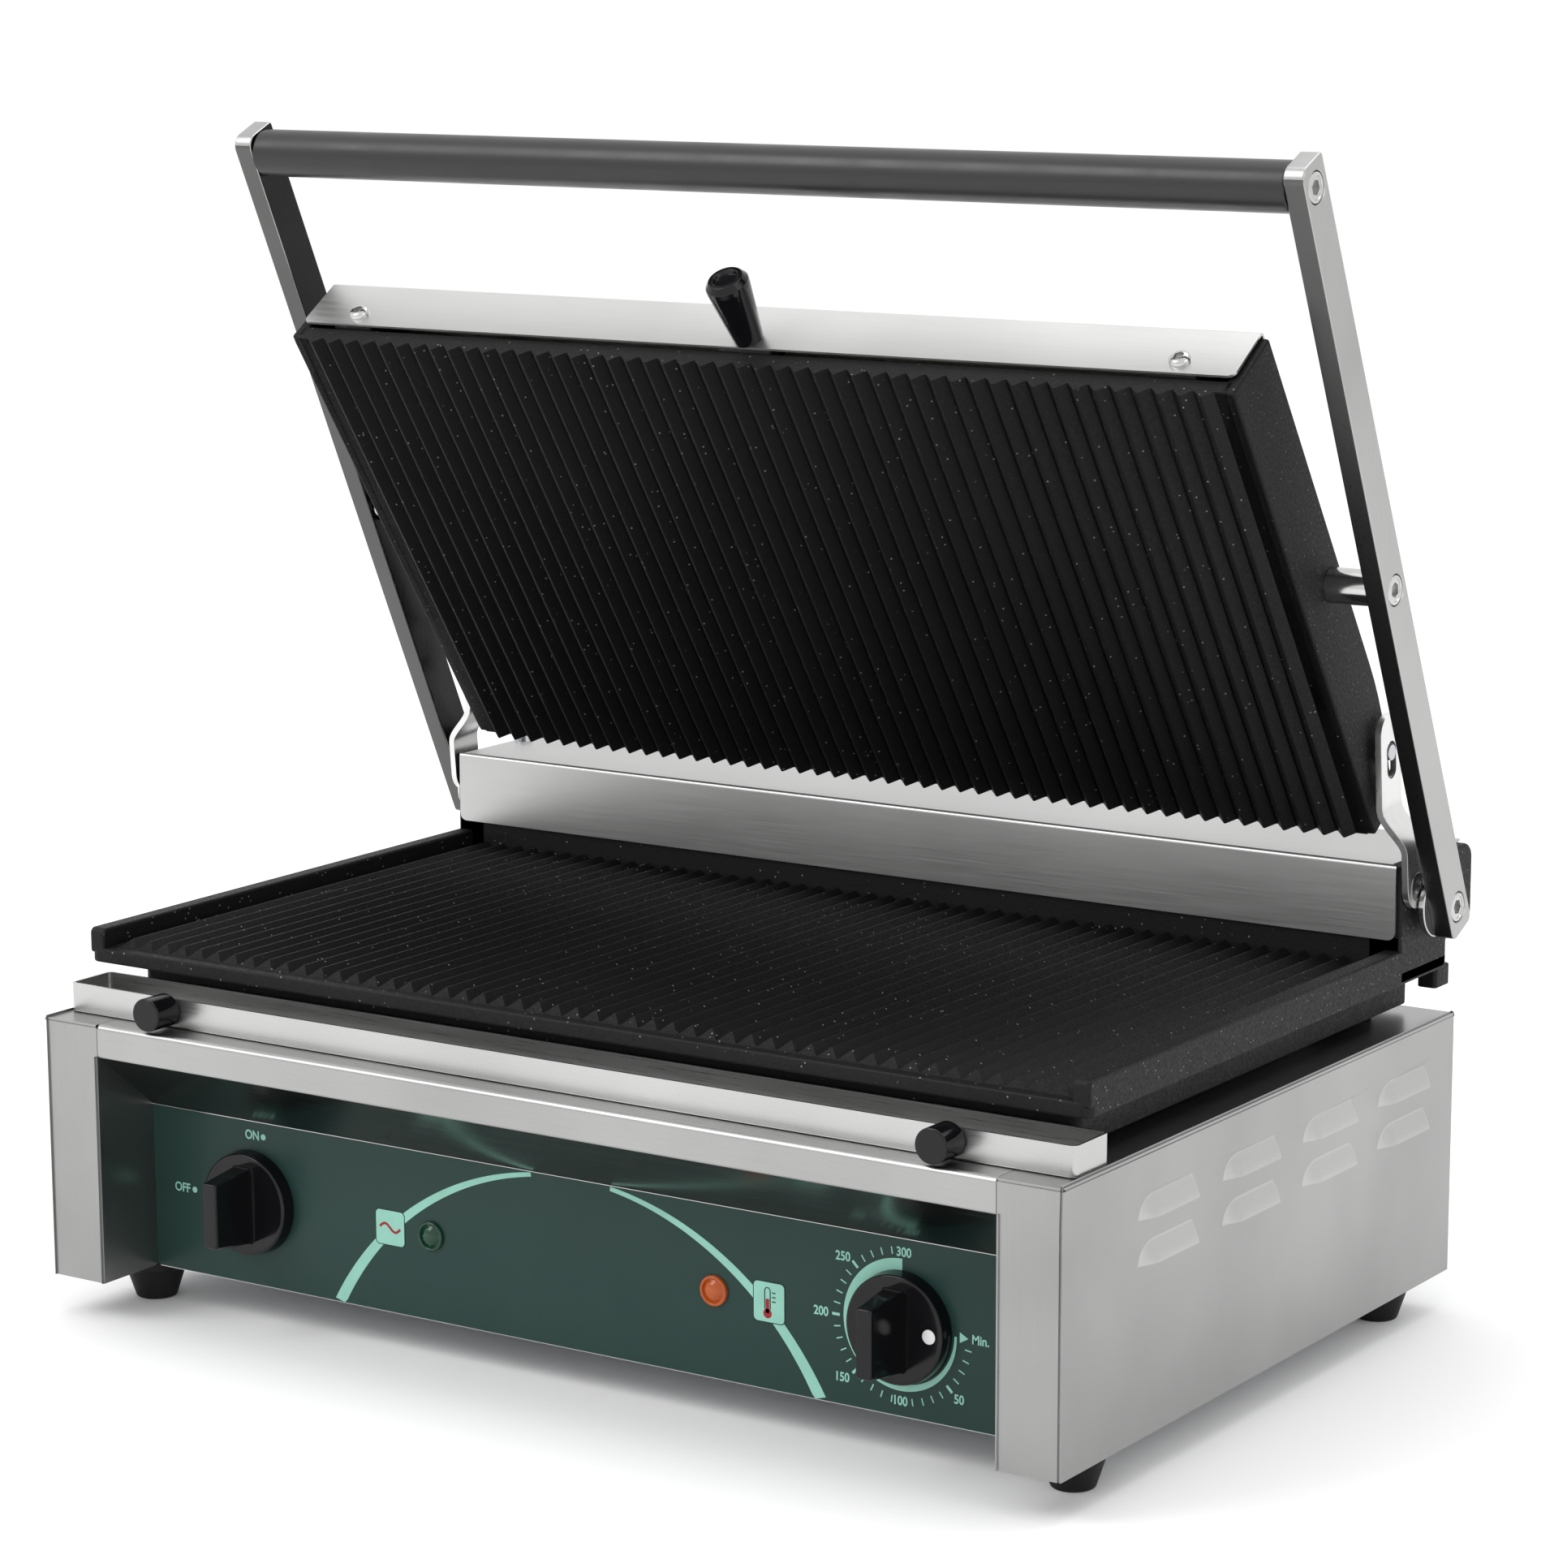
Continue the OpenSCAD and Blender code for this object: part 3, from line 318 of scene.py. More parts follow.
def makeCastGrain():  # sandy skin of a casting: bumps, uneven blackness and pale specks that are painted glints on the grain
    group, given, result = newGroup(
        "castGrain", [("Grain Size", "NodeSocketFloat", 900),
                      ("Speck Amount", "NodeSocketFloat", 0.1)],
        [("Bumps", "NodeSocketFloat"), ("Glint Specks", "NodeSocketFloat"),
         ("Clouds", "NodeSocketFloat")])
    where = node(group, "ShaderNodeTexCoord").outputs["Object"]
    bumps = node(group, "ShaderNodeTexNoise", Vector=where, Scale=given.outputs["Grain Size"],
                 Detail=4.0, Roughness=0.75)
    cells = node(group, "ShaderNodeTexVoronoi", Vector=where, Scale=700.0)
    tint = node(group, "ShaderNodeSeparateColor", Color=cells.outputs["Color"])
    keep = node(group, "ShaderNodeMath", {"operation": "LESS_THAN"})
    group.links.new(tint.outputs[0], keep.inputs[0])
    group.links.new(given.outputs["Speck Amount"], keep.inputs[1])
    near = ramp(group, cells.outputs["Distance"], 0.12, 0.3, 1, 0)
    glintSpecks = node(group, "ShaderNodeMath", {"operation": "MULTIPLY"})
    group.links.new(keep.outputs[0], glintSpecks.inputs[0])
    group.links.new(near, glintSpecks.inputs[1])
    clouds = node(group, "ShaderNodeTexNoise", Vector=where, Scale=14.0, Detail=4.0)
    group.links.new(bumps.outputs["Fac"], result.inputs["Bumps"])
    group.links.new(glintSpecks.outputs[0], result.inputs["Glint Specks"])
    group.links.new(clouds.outputs["Fac"], result.inputs["Clouds"])
    return group


def makeHandling():  # faint wipe marks and dust on smooth parts
    group, given, result = newGroup(
        "handling", [("Size", "NodeSocketFloat", 60)],
        [("Wipes", "NodeSocketFloat"), ("Dust", "NodeSocketFloat"), ("Fine", "NodeSocketFloat")])
    where = node(group, "ShaderNodeTexCoord").outputs["Object"]
    wipes = node(group, "ShaderNodeTexNoise", Vector=where, Scale=given.outputs["Size"],
                 Detail=3.0, Distortion=1.2)
    dust = node(group, "ShaderNodeTexNoise", Vector=where, Scale=2200.0, Detail=2.0)
    fine = node(group, "ShaderNodeTexNoise", Vector=where, Scale=1100.0, Detail=3.0)
    group.links.new(wipes.outputs["Fac"], result.inputs["Wipes"])
    group.links.new(ramp(group, dust.outputs["Fac"], 0.68, 0.76, 0, 1), result.inputs["Dust"])
    group.links.new(fine.outputs["Fac"], result.inputs["Fine"])
    return group


brushing, castGrain, handling = makeBrushing(), makeCastGrain(), makeHandling()


def startMaterial(name):
    material = bpy.data.materials.new(name)
    material.use_nodes = True
    tree = material.node_tree
    return material, tree, tree.nodes["Principled BSDF"]


def placeGroup(tree, group, **inputs):
    made = tree.nodes.new("ShaderNodeGroup")
    made.node_tree = group
    for name, value in inputs.items():
        made.inputs[name.replace("_", " ")].default_value = value
    return made.outputs


def bump(tree, shader, height, strength, distance):
    made = node(tree, "ShaderNodeBump", Strength=strength, Distance=distance, Height=height)
    tree.links.new(made.outputs["Normal"], shader.inputs["Normal"])


def steel(name, dark, light, rough, stretch, metallic=1.0, patch=9.0, lineBump=0.12, shine=0.5):
    material, tree, shader = startMaterial(name)
    marks = placeGroup(tree, brushing, Stretch=stretch, Patch_Size=patch)
    patches = ramp(tree, marks["Patches"], 0.3, 0.7, 0, 1)
    lines = ramp(tree, marks["Lines"], 0.3, 0.7, 0, 1)
    base = mixColour(tree, patches, dark, light)
    streak = mixColour(tree, lines, (0.93, 0.93, 0.93, 1), (1, 1, 1, 1))
    tree.links.new(mixColour(tree, 1.0, base, streak, "MULTIPLY"), shader.inputs["Base Color"])
    tree.links.new(ramp(tree, marks["Lines"], 0.25, 0.75, rough[0], rough[1]),
                   shader.inputs["Roughness"])
    shader.inputs["Metallic"].default_value = metallic
    shader.inputs["Specular IOR Level"].default_value = shine
    bump(tree, shader, marks["Lines"], lineBump, 0.00004)
    return material


def casting(name, base, glintColour, grain, glintSpecks, rough=(0.42, 0.7), strength=0.5, depth=0.0003):
    material, tree, shader = startMaterial(name)
    skin = placeGroup(tree, castGrain, Grain_Size=grain, Speck_Amount=glintSpecks)
    clouds = ramp(tree, skin["Clouds"], 0.3, 0.7, 0, 1)
    colour = mixColour(tree, clouds, base, tuple(c * 1.5 for c in base[:3]) + (1,))
    # pale specks mixed into the colour: painted glints on the grain
    colour = mixColour(tree, skin["Glint Specks"], colour, glintColour)
    tree.links.new(colour, shader.inputs["Base Color"])
    tree.links.new(ramp(tree, skin["Bumps"], 0.35, 0.65, rough[0], rough[1]),
                   shader.inputs["Roughness"])
    shader.inputs["Specular IOR Level"].default_value = 0.22
    bump(tree, shader, skin["Bumps"], strength, depth)
    return material


def smooth(name, base, rough, dust=(0.08, 0.08, 0.08, 1), dustShare=0.12, metallic=0.0,
           coat=0.0, size=60, fineBump=0.04, shine=0.5):
    material, tree, shader = startMaterial(name)
    marks = placeGroup(tree, handling, Size=size)
    dusty = ramp(tree, marks["Dust"], 0, 1, 0, dustShare)
    wiped = mixColour(tree, ramp(tree, marks["Wipes"], 0.3, 0.7, 0, 1), base,
                      tuple(c * 0.9 for c in base[:3]) + (1,))
    tree.links.new(mixColour(tree, dusty, wiped, dust), shader.inputs["Base Color"])
    tree.links.new(ramp(tree, marks["Wipes"], 0.3, 0.7, rough[0], rough[1]),
                   shader.inputs["Roughness"])
    shader.inputs["Metallic"].default_value = metallic
    shader.inputs["Coat Weight"].default_value = coat
    shader.inputs["Specular IOR Level"].default_value = shine
    bump(tree, shader, marks["Fine"], fineBump, 0.0001)
    return material


def grey(v):
    return (v, v, v * 0.99, 1)


finishes = {
    "shell": steel("shellSteel", grey(0.30), grey(0.38), (0.26, 0.38), (300, 300, 6)),
    # hood steel: the side's steel painted lighter, a painted highlight where the hoods tilt up to
    # the light
    "hood": steel("hoodPaintedHighlightSteel", grey(0.42), grey(0.48), (0.26, 0.38), (300, 300, 6)),
    "bar": steel("barSteel", grey(0.34), grey(0.42), (0.24, 0.36), (6, 300, 300)),
    "tray": steel("traySteel", grey(0.48), grey(0.56), (0.24, 0.36), (6, 300, 300)),
    # recess steel: the bar's steel painted dark, painted shade on the sloped underside over the
    # panel
    "recess": steel("recessPaintedShadeSteel", (0.125, 0.135, 0.13, 1), (0.18, 0.195, 0.19, 1),
                    (0.14, 0.24), (5, 120, 120), patch=14.0, lineBump=0.02),
    "arm": steel("armSteel", grey(0.38), grey(0.46), (0.25, 0.36), (300, 300, 7)),
    # darker copies of the arm steel: painted shade on the arms' front faces, deeper painted shade
    # on their inner faces
    "armShade": steel("armShadeSteel", grey(0.10), grey(0.13), (0.25, 0.36), (300, 300, 7)),
    "armInnerShade": steel("armInnerShadeSteel", grey(0.012), grey(0.03), (0.2, 0.35), (300, 300, 7)),
    "link": steel("tumbledSteel", grey(0.66), grey(0.78), (0.26, 0.3), (30, 30, 30),
                  lineBump=0.02),
    "splash": steel("splashSteel", grey(0.43), grey(0.51), (0.28, 0.42), (4, 300, 300)),
    "cover": steel("coverSteel", grey(0.62), grey(0.71), (0.28, 0.4), (4, 300, 300)),
    "bright": steel("brightSteel", grey(0.50), grey(0.62), (0.1, 0.2), (60, 60, 60),
                    lineBump=0.04),
    "zinc": steel("zincSteel", (0.45, 0.46, 0.48, 1), (0.56, 0.57, 0.59, 1), (0.25, 0.4),
                  (40, 40, 40)),
    "heater": steel("heaterSteel", (0.12, 0.1, 0.09, 1), (0.22, 0.18, 0.15, 1), (0.35, 0.5),
                    (40, 40, 40)),
    "spring": steel("springSteel", grey(0.2), grey(0.28), (0.25, 0.4), (60, 60, 60)),
    "copper": steel("drawnCopper", (0.6, 0.3, 0.17, 1), (0.7, 0.4, 0.24, 1), (0.2, 0.35),
                    (60, 60, 60)),
    "bronze": steel("turnedBronze", (0.5, 0.34, 0.14, 1), (0.6, 0.43, 0.2, 1), (0.25, 0.4),
                    (60, 60, 60)),
    # pale specks in the cast iron: painted glints
    "iron": casting("castIron", (0.0035, 0.0035, 0.0037, 1), (0.22, 0.22, 0.22, 1), 900, 0.05),
    "knob": smooth("knobPlastic", (0.004, 0.004, 0.005, 1), (0.1, 0.2), coat=0.1, shine=0.25),
    "grip": smooth("gripPlastic", (0.02, 0.02, 0.021, 1), (0.28, 0.42), size=25, shine=0.4),
    "plastic": smooth("satinPlastic", (0.012, 0.012, 0.013, 1), (0.3, 0.45)),
    "rubber": smooth("footRubber", (0.006, 0.006, 0.006, 1), (0.5, 0.7), dustShare=0.3,
                     fineBump=0.2, shine=0.25),
    "label": smooth("panelFilm", (0.014, 0.041, 0.035, 1), (0.25, 0.36),
                    dust=(0.03, 0.06, 0.055, 1), size=12, fineBump=0.02, shine=0.22),
    "print": smooth("mintPrint", (0.27, 0.55, 0.45, 1), (0.35, 0.45), dustShare=0.03, shine=0.2),
    "printDark": smooth("darkPrint", (0.008, 0.024, 0.021, 1), (0.35, 0.45), shine=0.2),
    "printRed": smooth("redPrint", (0.3, 0.02, 0.025, 1), (0.35, 0.45), dustShare=0.03, shine=0.2),
    "white": smooth("whitePaint", (0.8, 0.8, 0.8, 1), (0.3, 0.4), dustShare=0.03),
    "lensGreen": smooth("greenLens", (0.003, 0.04, 0.02, 1), (0.08, 0.16), coat=0.3, shine=0.3),
    "lensOrange": smooth("orangeLens", (0.42, 0.075, 0.006, 1), (0.08, 0.16), coat=0.3,
                         dustShare=0.03, shine=0.3),
    "ceramic": smooth("ceramic", (0.75, 0.73, 0.68, 1), (0.5, 0.7)),
    "fibre": casting("mineralFibre", (0.6, 0.58, 0.52, 1), (0.7, 0.68, 0.62, 1), 300, 0.2,
                     rough=(0.8, 0.95)),
}
print("finishes made")

# CAD parts that keep their shape

kept = {
    "zinc": ["base_plate", "back_panel", "plate_bolts", "panel_screws", "feet_screws",
             "tray_screws", "lower_clamps", "upper_clamps", "splash_screws", "handle_rod",
             "thermostat_body", "lift_stud", "link_pins"],
    "bright": ["control_panel", "hinge_shaft", "spring_collars", "power_spindle",
               "thermostat_spindle"],
    "heater": ["lower_heater", "upper_heater"],
    "fibre": ["lower_insulation", "upper_insulation"],
    "copper": ["thermostat_bulb"],
    "plastic": ["switch_body", "cable_gland", "feed_gland"],
    "ceramic": ["terminal_block", "lamp_sockets"],
    "bronze": ["hinge_bushes"],
    "spring": ["torsion_springs"],
}
for finishName, names in kept.items():
    for name in names:
        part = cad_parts[name]
        part.data.materials.clear()
        part.data.materials.append(finishes[finishName])

# housing sides: side, rounded front post, return wall and top flange in one sheet;
# the louvres' hoods stand out over D-shaped openings, painted lighter than the side as a painted
# highlight

side = {"sheet": 1.2, "post": 25, "recess": 30, "bend": 2.4, "barLow": 87.8, "panelTop": 63.5,
        "endMargin": 26, "rowMargin": 7, "steps": 32, "rowSteps": 7, "bulge": 1.35,
        "columns": [70, 129.5, 189, 248.5], "rows": [65, 81], "hoodLength": 40,
        "hoodHeight": 8, "hoodOut": 3, "frontEnd": 11, "rearEnd": 3.2, "frontSlope": 10,
        "rearSlope": 2.4}


def hoodRows():  # one louvre hood: for each place along it, points from the lip to the top edge
    span = side["hoodLength"] / 2
    columns = []
    for k in range(side["steps"] + 1):
        u = -math.cos(math.pi * k / side["steps"]) * span
        end = side["frontEnd"] if u < 0 else side["rearEnd"]
        slope = side["frontSlope"] if u < 0 else side["rearSlope"]
        over = max(0.0, abs(u) - (span - end)) / end
        dome = math.sqrt(max(0.0, 1 - over * over))
        climb = min(1.0, (span - abs(u)) / slope)
        rise = climb * climb * (3 - 2 * climb)
        low = -side["hoodHeight"] / 2
        column = []
        for m in range(side["rowSteps"] + 1):
            w = m / side["rowSteps"]
            out = side["hoodOut"] * rise * (1 - w ** side["bulge"])
            column.append((out, u, low + side["hoodHeight"] * dome * w))
        columns.append(column)
    return columns


def edgeBetween(build, a, b):
    return build.edges.get((a, b)) or build.edges.new((a, b))


def sideSheet():
    width, depth, height = housing["halfWidth"], housing["depth"], housing["height"]
    inside = width - side["post"]
    build = bmesh.new()

    def face(*points):
        return build.faces.new([build.verts.new(p) for p in points])

    y0, y1 = side["columns"][0] - side["endMargin"], side["columns"][-1] + side["endMargin"]
    z0, z1 = side["rows"][0] - side["rowMargin"], side["rows"][-1] + side["rowMargin"]
    face((inside, 0, 0), (width, 0, 0), (width, 0, z0), (width, 0, z1), (width, 0, height),
         (inside, 0, height), (inside, 0, side["barLow"]))
    wallEnd = side["recess"] + side["sheet"]
    face((inside, 0, 0), (inside, 0, side["barLow"]), (inside, side["recess"], side["panelTop"]),
         (inside, wallEnd, side["panelTop"]), (inside, wallEnd, 0))
    face((inside, 0, height), (width, 0, height), (width, y0, height), (width, y1, height),
         (width, depth, height), (inside, depth, height))
    ys, zs = (0, y0, y1, depth), (0, z0, z1, height)
    for i in range(3):
        for j in range(3):
            if (i, j) != (1, 1):  # the louvres' part is filled below
                face((width, ys[i], zs[j]), (width, ys[i + 1], zs[j]),
                     (width, ys[i + 1], zs[j + 1]), (width, ys[i], zs[j + 1]))
    corners = [build.verts.new(p) for p in ((width, y0, z0), (width, y1, z0), (width, y1, z1),
                                            (width, y0, z1))]
    rims = [edgeBetween(build, corners[i], corners[(i + 1) % 4]) for i in range(4)]
    columns = hoodRows()
    for y in side["columns"]:
        for z in side["rows"]:
            hood = [[build.verts.new((width + out, y + u, z + w)) for out, u, w in column]
                    for column in columns[1:-1]]
            ends = [build.verts.new((width, y + s * side["hoodLength"] / 2,
                                     z - side["hoodHeight"] / 2)) for s in (-1, 1)]
            # hood faces take the lighter copy of the steel: painted highlight
            for a, b in zip(hood, hood[1:]):
                for m in range(side["rowSteps"]):
                    build.faces.new((a[m], b[m], b[m + 1], a[m + 1])).material_index = 1
            for m in range(side["rowSteps"]):
                build.faces.new((ends[0], hood[0][m], hood[0][m + 1])).material_index = 1
                build.faces.new((hood[-1][m], ends[1], hood[-1][m + 1])).material_index = 1
            edge = [ends[0]] + [column[-1] for column in hood] + ends[::-1]
            rims += [edgeBetween(build, a, b) for a, b in zip(edge, edge[1:])]
    bmesh.ops.triangle_fill(build, use_beauty=True, use_dissolve=False, edges=rims)
    bmesh.ops.remove_doubles(build, verts=build.verts, dist=0.001)
    bmesh.ops.recalc_face_normals(build, faces=build.faces)
    outward = sum(f.normal.x * f.calc_area() for f in build.faces
                  if f.calc_center_median().x > width - 1)
    if outward < 0:
        bmesh.ops.reverse_faces(build, faces=build.faces)

    def bend(a, b):
        onSide = a.x > width - 0.01 and b.x > width - 0.01
        onFront = a.y < 0.01 and b.y < 0.01
        onTop = a.z > height - 0.01 and b.z > height - 0.01
        onWall = a.x < inside + 0.01 and b.x < inside + 0.01
        return (onSide and onFront) or (onSide and onTop) or (onTop and onFront) or (
            onWall and onFront)
    return soften(build, side["bend"], 4, 30, bend)


for sign, label in ((1, "right"), (-1, "left")):
    build = sideSheet()
    if sign < 0:
        build = mirrored(build)
    shell = rawPiece("sideSheet_" + label, [build])
    settle(tool(shell, "SOLIDIFY", thickness=side["sheet"], offset=-1, use_even_offset=False))
    # the second finish is the hoods' painted highlight
    dress(shell, toHousing, [finishes["shell"], finishes["hood"]], "base",
          ["housing_shell"] if sign > 0 else [], 27)

# deck, front bar and sloped underside of the bar: the other sheet
deck = {"seam": 0.25, "barBend": 2.0, "underBend": 1.2}
path = rounded([(housing["depth"], housing["height"]), (0, housing["height"]),
                (0, side["barLow"]), (side["recess"], side["panelTop"])],
               [0, deck["barBend"], deck["underBend"], 0], 5, False)
barHalf = housing["halfWidth"] - side["post"] - deck["seam"]
build = bentSheet(path, [(-barHalf, barHalf)] * len(path), side["sheet"])
# faces below the bar's lower edge take the dark copy: painted shade
for f in build.faces:
    if f.calc_center_median().z < side["barLow"] - 0.5:
        f.material_index = 1
makePiece("deckSheet", [build], toHousing, [finishes["bar"], finishes["recess"]], "base",
          ["front_frame"])
print("housing made")

# control panel: printed film on the steel panel, with everything printed on it

panel = {"front": 30.0, "film": 0.15, "ink": 0.05, "halfWidth": 194.9, "low": 0.3, "high": 63.25,
         "powerX": -147, "dialX": 140, "controlZ": 32.3, "lampX": 62.5,
         "arcX": 0.5, "arcZ": -58.6, "arcR": 122.5, "arcFrom": 8.2, "arcTo": 61.0,
         "arcThin": 1.6, "arcGrowth": 3.2}
filmFront = panel["front"] - panel["film"]
makePiece("panelFilm", [prism(box2d(-panel["halfWidth"], panel["halfWidth"], panel["low"],
                                    panel["high"]), filmFront, panel["front"], "y")],
          toHousing, finishes["label"], "base")


def inked(outline, level=0):  # one printed shape
    front = filmFront - panel["ink"] * (level + 1)
    return prism(outline, front, filmFront - panel["ink"] * level, "y")


def disc(x, z, radius, count=40):
    return [(x + radius * math.cos(2 * math.pi * k / count),
             z + radius * math.sin(2 * math.pi * k / count)) for k in range(count)]


def stroke(points, width):  # outline of a line of even width
    left, right = [], []
    for i, here in enumerate(points):
        a, b = Vector(points[max(i - 1, 0)]), Vector(points[min(i + 1, len(points) - 1)])
        across = (b - a).normalized().orthogonal() * width / 2
        left.append(tuple(Vector(here) + across))
        right.append(tuple(Vector(here) - across))
    return left + right[::-1]


def bigArc():
    shapes = []
    for sign in (-1, 1):
        outer, inner = [], []
        for k in range(41):
            turn = math.radians(panel["arcFrom"] + (panel["arcTo"] - panel["arcFrom"]) * k / 40)
            thick = panel["arcThin"] + panel["arcGrowth"] * (k / 40) ** 1.1
            for ring, r in ((outer, panel["arcR"] + thick * 0.3),
                            (inner, panel["arcR"] - thick * 0.7)):
                x = panel["arcX"] + sign * r * math.sin(turn)
                z = panel["arcZ"] + r * math.cos(turn)
                ring.append((x, min(max(z, panel["low"]), panel["high"])))
        shapes.append(inked(outer + inner[::-1]))
    return shapes


dial = {"outer": 24.0, "outerLoss": 2.2, "inner": 19.6, "innerGain": 1.3, "sweep": 270,
        "tickStep": 9, "bold": (5, 10, 15, 25), "blank": 20, "boldTick": (25.3, 28.4, 1.0),
        "fineTick": (25.4, 28.0, 0.45)}


def onDial(radius, turn):
    return (panel["dialX"] + radius * math.cos(turn), panel["controlZ"] + radius * math.sin(turn))


def dialRing():
    outer, inner = [], []
    for k in range(73):
        share = k / 72
        turn = math.radians(90 + dial["sweep"] * share)
        outer.append(onDial(dial["outer"] - dial["outerLoss"] * share ** 2, turn))
        inner.append(onDial(dial["inner"] + dial["innerGain"] * share, turn))
    return inked(outer + inner[::-1])


def dialTicks():
    ticks = []
    for k in range(1, dial["sweep"] // dial["tickStep"]):
        if k != dial["blank"]:
            turn = math.radians(90 + dial["tickStep"] * k)
            low, high, width = dial["boldTick"] if k in dial["bold"] else dial["fineTick"]
            ticks.append(inked(stroke([onDial(low, turn), onDial(high, turn)], width)))
    return ticks


def roundSquare(x, z, w, h, r):
    return rounded(box2d(x - w / 2, x + w / 2, z - h / 2, z + h / 2), r, 5)


# x, z, width and height of each pictogram; x, z and radius of the dots beside ON and OFF
icons = {"mains": (-81.5, 32.4, 13, 13), "heat": (85.5, 31.8, 12.7, 14.3)}
dots = {"on": (-141.0, 58.0, 1.15), "off": (-175.2, 32.6, 1.15)}
mint = bigArc() + [dialRing()] + dialTicks()
mint += [inked(disc(*dots["on"])), inked(disc(*dots["off"])),
         inked([(163.0, 34.2), (163.0, 30.4), (166.4, 32.3)])]  # pointer beside Min.
dark = [inked(roundSquare(x, z, w + 0.7, h + 0.7, 1.9), 1) for x, z, w, h in icons.values()]
tiles = [inked(roundSquare(x, z, w, h, 1.6), 2) for x, z, w, h in icons.values()]
makePiece("panelPrint", mint, toHousing, finishes["print"], "base")
makePiece("iconEdges", dark, toHousing, finishes["printDark"], "base")
makePiece("iconTiles", tiles, toHousing, finishes["print"], "base")
waveX, waveZ = icons["mains"][:2]
wave = [(waveX + 9.4 * (k / 24 - 0.5), waveZ + 1.5 * math.sin(2 * math.pi * k / 24))
        for k in range(25)]
hx, hz = icons["heat"][0] - 0.6, icons["heat"][1]
red = [inked(stroke(wave, 0.95), 3), inked(disc(hx, hz - 4.1, 1.75), 3),
       inked(rounded(box2d(hx - 0.75, hx + 0.75, hz - 4.0, hz + 1.2), 0.3, 3), 3)]
makePiece("iconRed", red, toHousing, finishes["printRed"], "base")
glass = stroke([(hx - 1.15, hz - 2.6), (hx - 1.15, hz + 4.2), (hx - 0.6, hz + 5.2),
                (hx + 0.6, hz + 5.2), (hx + 1.15, hz + 4.2), (hx + 1.15, hz - 2.6)], 0.4)
scaleMarks = [inked(box2d(hx + 1.9, hx + 3.4, hz + v, hz + v + 0.4), 3) for v in (0.2, 1.8, 3.4)]
makePiece("iconDark", [inked(glass, 3)] + scaleMarks, toHousing, finishes["printDark"], "base")


def lettering(name, words, x, z, size, stretch=0.88):
    curve = bpy.data.curves.new(name, "FONT")
    curve.body = words
    curve.size = size
    curve.align_x = "CENTER"
    curve.align_y = "CENTER"
    curve.extrude = panel["ink"] / 2
    curve.offset = 0.1
    source = bpy.data.objects.new(name + "Source", curve)
    bpy.context.scene.collection.objects.link(source)
    bpy.context.view_layer.update()
    mesh = bpy.data.meshes.new_from_object(
        source.evaluated_get(bpy.context.evaluated_depsgraph_get()))
    bpy.data.objects.remove(source)
    mesh.transform(Matrix.Translation((x, filmFront - panel["ink"] / 2, z))
                   @ Matrix.Rotation(math.pi / 2, 4, "X") @ Matrix.Diagonal((stretch, 1, 1, 1)))
    obj = bpy.data.objects.new(name, mesh)
    bpy.context.scene.collection.objects.link(obj)
    return dress(obj, toHousing, finishes["print"], "base")


dx, dz = panel["dialX"], panel["controlZ"]
for name, words, x, z in (("markOn", "ON", -146.3, 58), ("markOff", "OFF", -181.2, 32.6),
                          ("mark300", "300", dx + 0.6, dz + 26.2),
                          ("mark250", "250", dx - 24.0, dz + 21.0),
                          ("mark200", "200", dx - 33.0, dz),
                          ("mark150", "150", dx - 24.4, dz - 22.3),
                          ("mark100", "100", dx - 0.8, dz - 26.7),
                          ("mark50", "50", dx + 22.8, dz - 22.2),
                          ("markMin", "Min.", dx + 31.2, dz)):
    lettering(name, words, x, z, 4.9 if words in ("ON", "OFF") else 4.6)
print("panel made")

# lamps, feet, knobs

lamp = {"face": [(0, -2.3), (1.4, -2.25), (2.6, -1.9), (3.5, -1.15), (3.9, -0.75), (4.25, -0.7),
                 (4.45, -1.35), (4.75, -1.6), (5.2, -1.55), (5.55, -1.2), (5.6, -0.9), (5.6, 0)],
        "stem": 4.5, "deep": 9}
for sign, finish, slot, name in ((-1, "lensGreen", "lens_green", "lamp_green"),
                                 (1, "lensOrange", "lens_orange", "lamp_orange")):
    profile = lamp["face"] + [(lamp["stem"], 0), (lamp["stem"], lamp["deep"]), (0, lamp["deep"])]
    makePiece(name + "_lens", [turned(profile, "y", (sign * panel["lampX"], panel["front"],
                                                     panel["controlZ"]))],
              toHousing, finishes[finish], "base", [name], 50)

foot = {"top": 12.5, "low": 7.7, "bore": 3, "sink": 5.8, "sinkTo": -9, "x": 203, "y": (38, 266)}
profile = [(foot["bore"], foot["sinkTo"]), (foot["sink"], foot["sinkTo"])] + rounded(
    [(foot["sink"], foot["sinkTo"]), (foot["sink"], -housing["foot"]),
     (foot["low"], -housing["foot"]), (11.4, -3.6), (foot["top"], -2.6), (foot["top"], 0)],
    [0, 0.6, 1.2, 1.0, 0.5, 0], 4, False)[1:] + [(foot["bore"], 0)]
feetBuilds = [turned(profile, "z", (sign * foot["x"], y, 0), tube=True) for sign in (-1, 1)
              for y in foot["y"]]
makePiece("rubberFeet", feetBuilds, toHousing, finishes["rubber"], "base",
          ["feet"], 50)

# grip: how far out, width and length of each section
knob = {"radius": 20, "skirt": 5.3, "back": 29.6, "gripCorner": 1.3,
        "grip": [(-4.4, 10.6, 31.0), (-5.2, 9.7, 29.6), (-6.2, 9.1, 28.7), (-8, 8.8, 28.3),
                 (-23.2, 6.75, 25.3), (-23.9, 6.55, 25.0), (-24.4, 6.0, 24.4),
                 (-24.6, 5.2, 23.6)]}


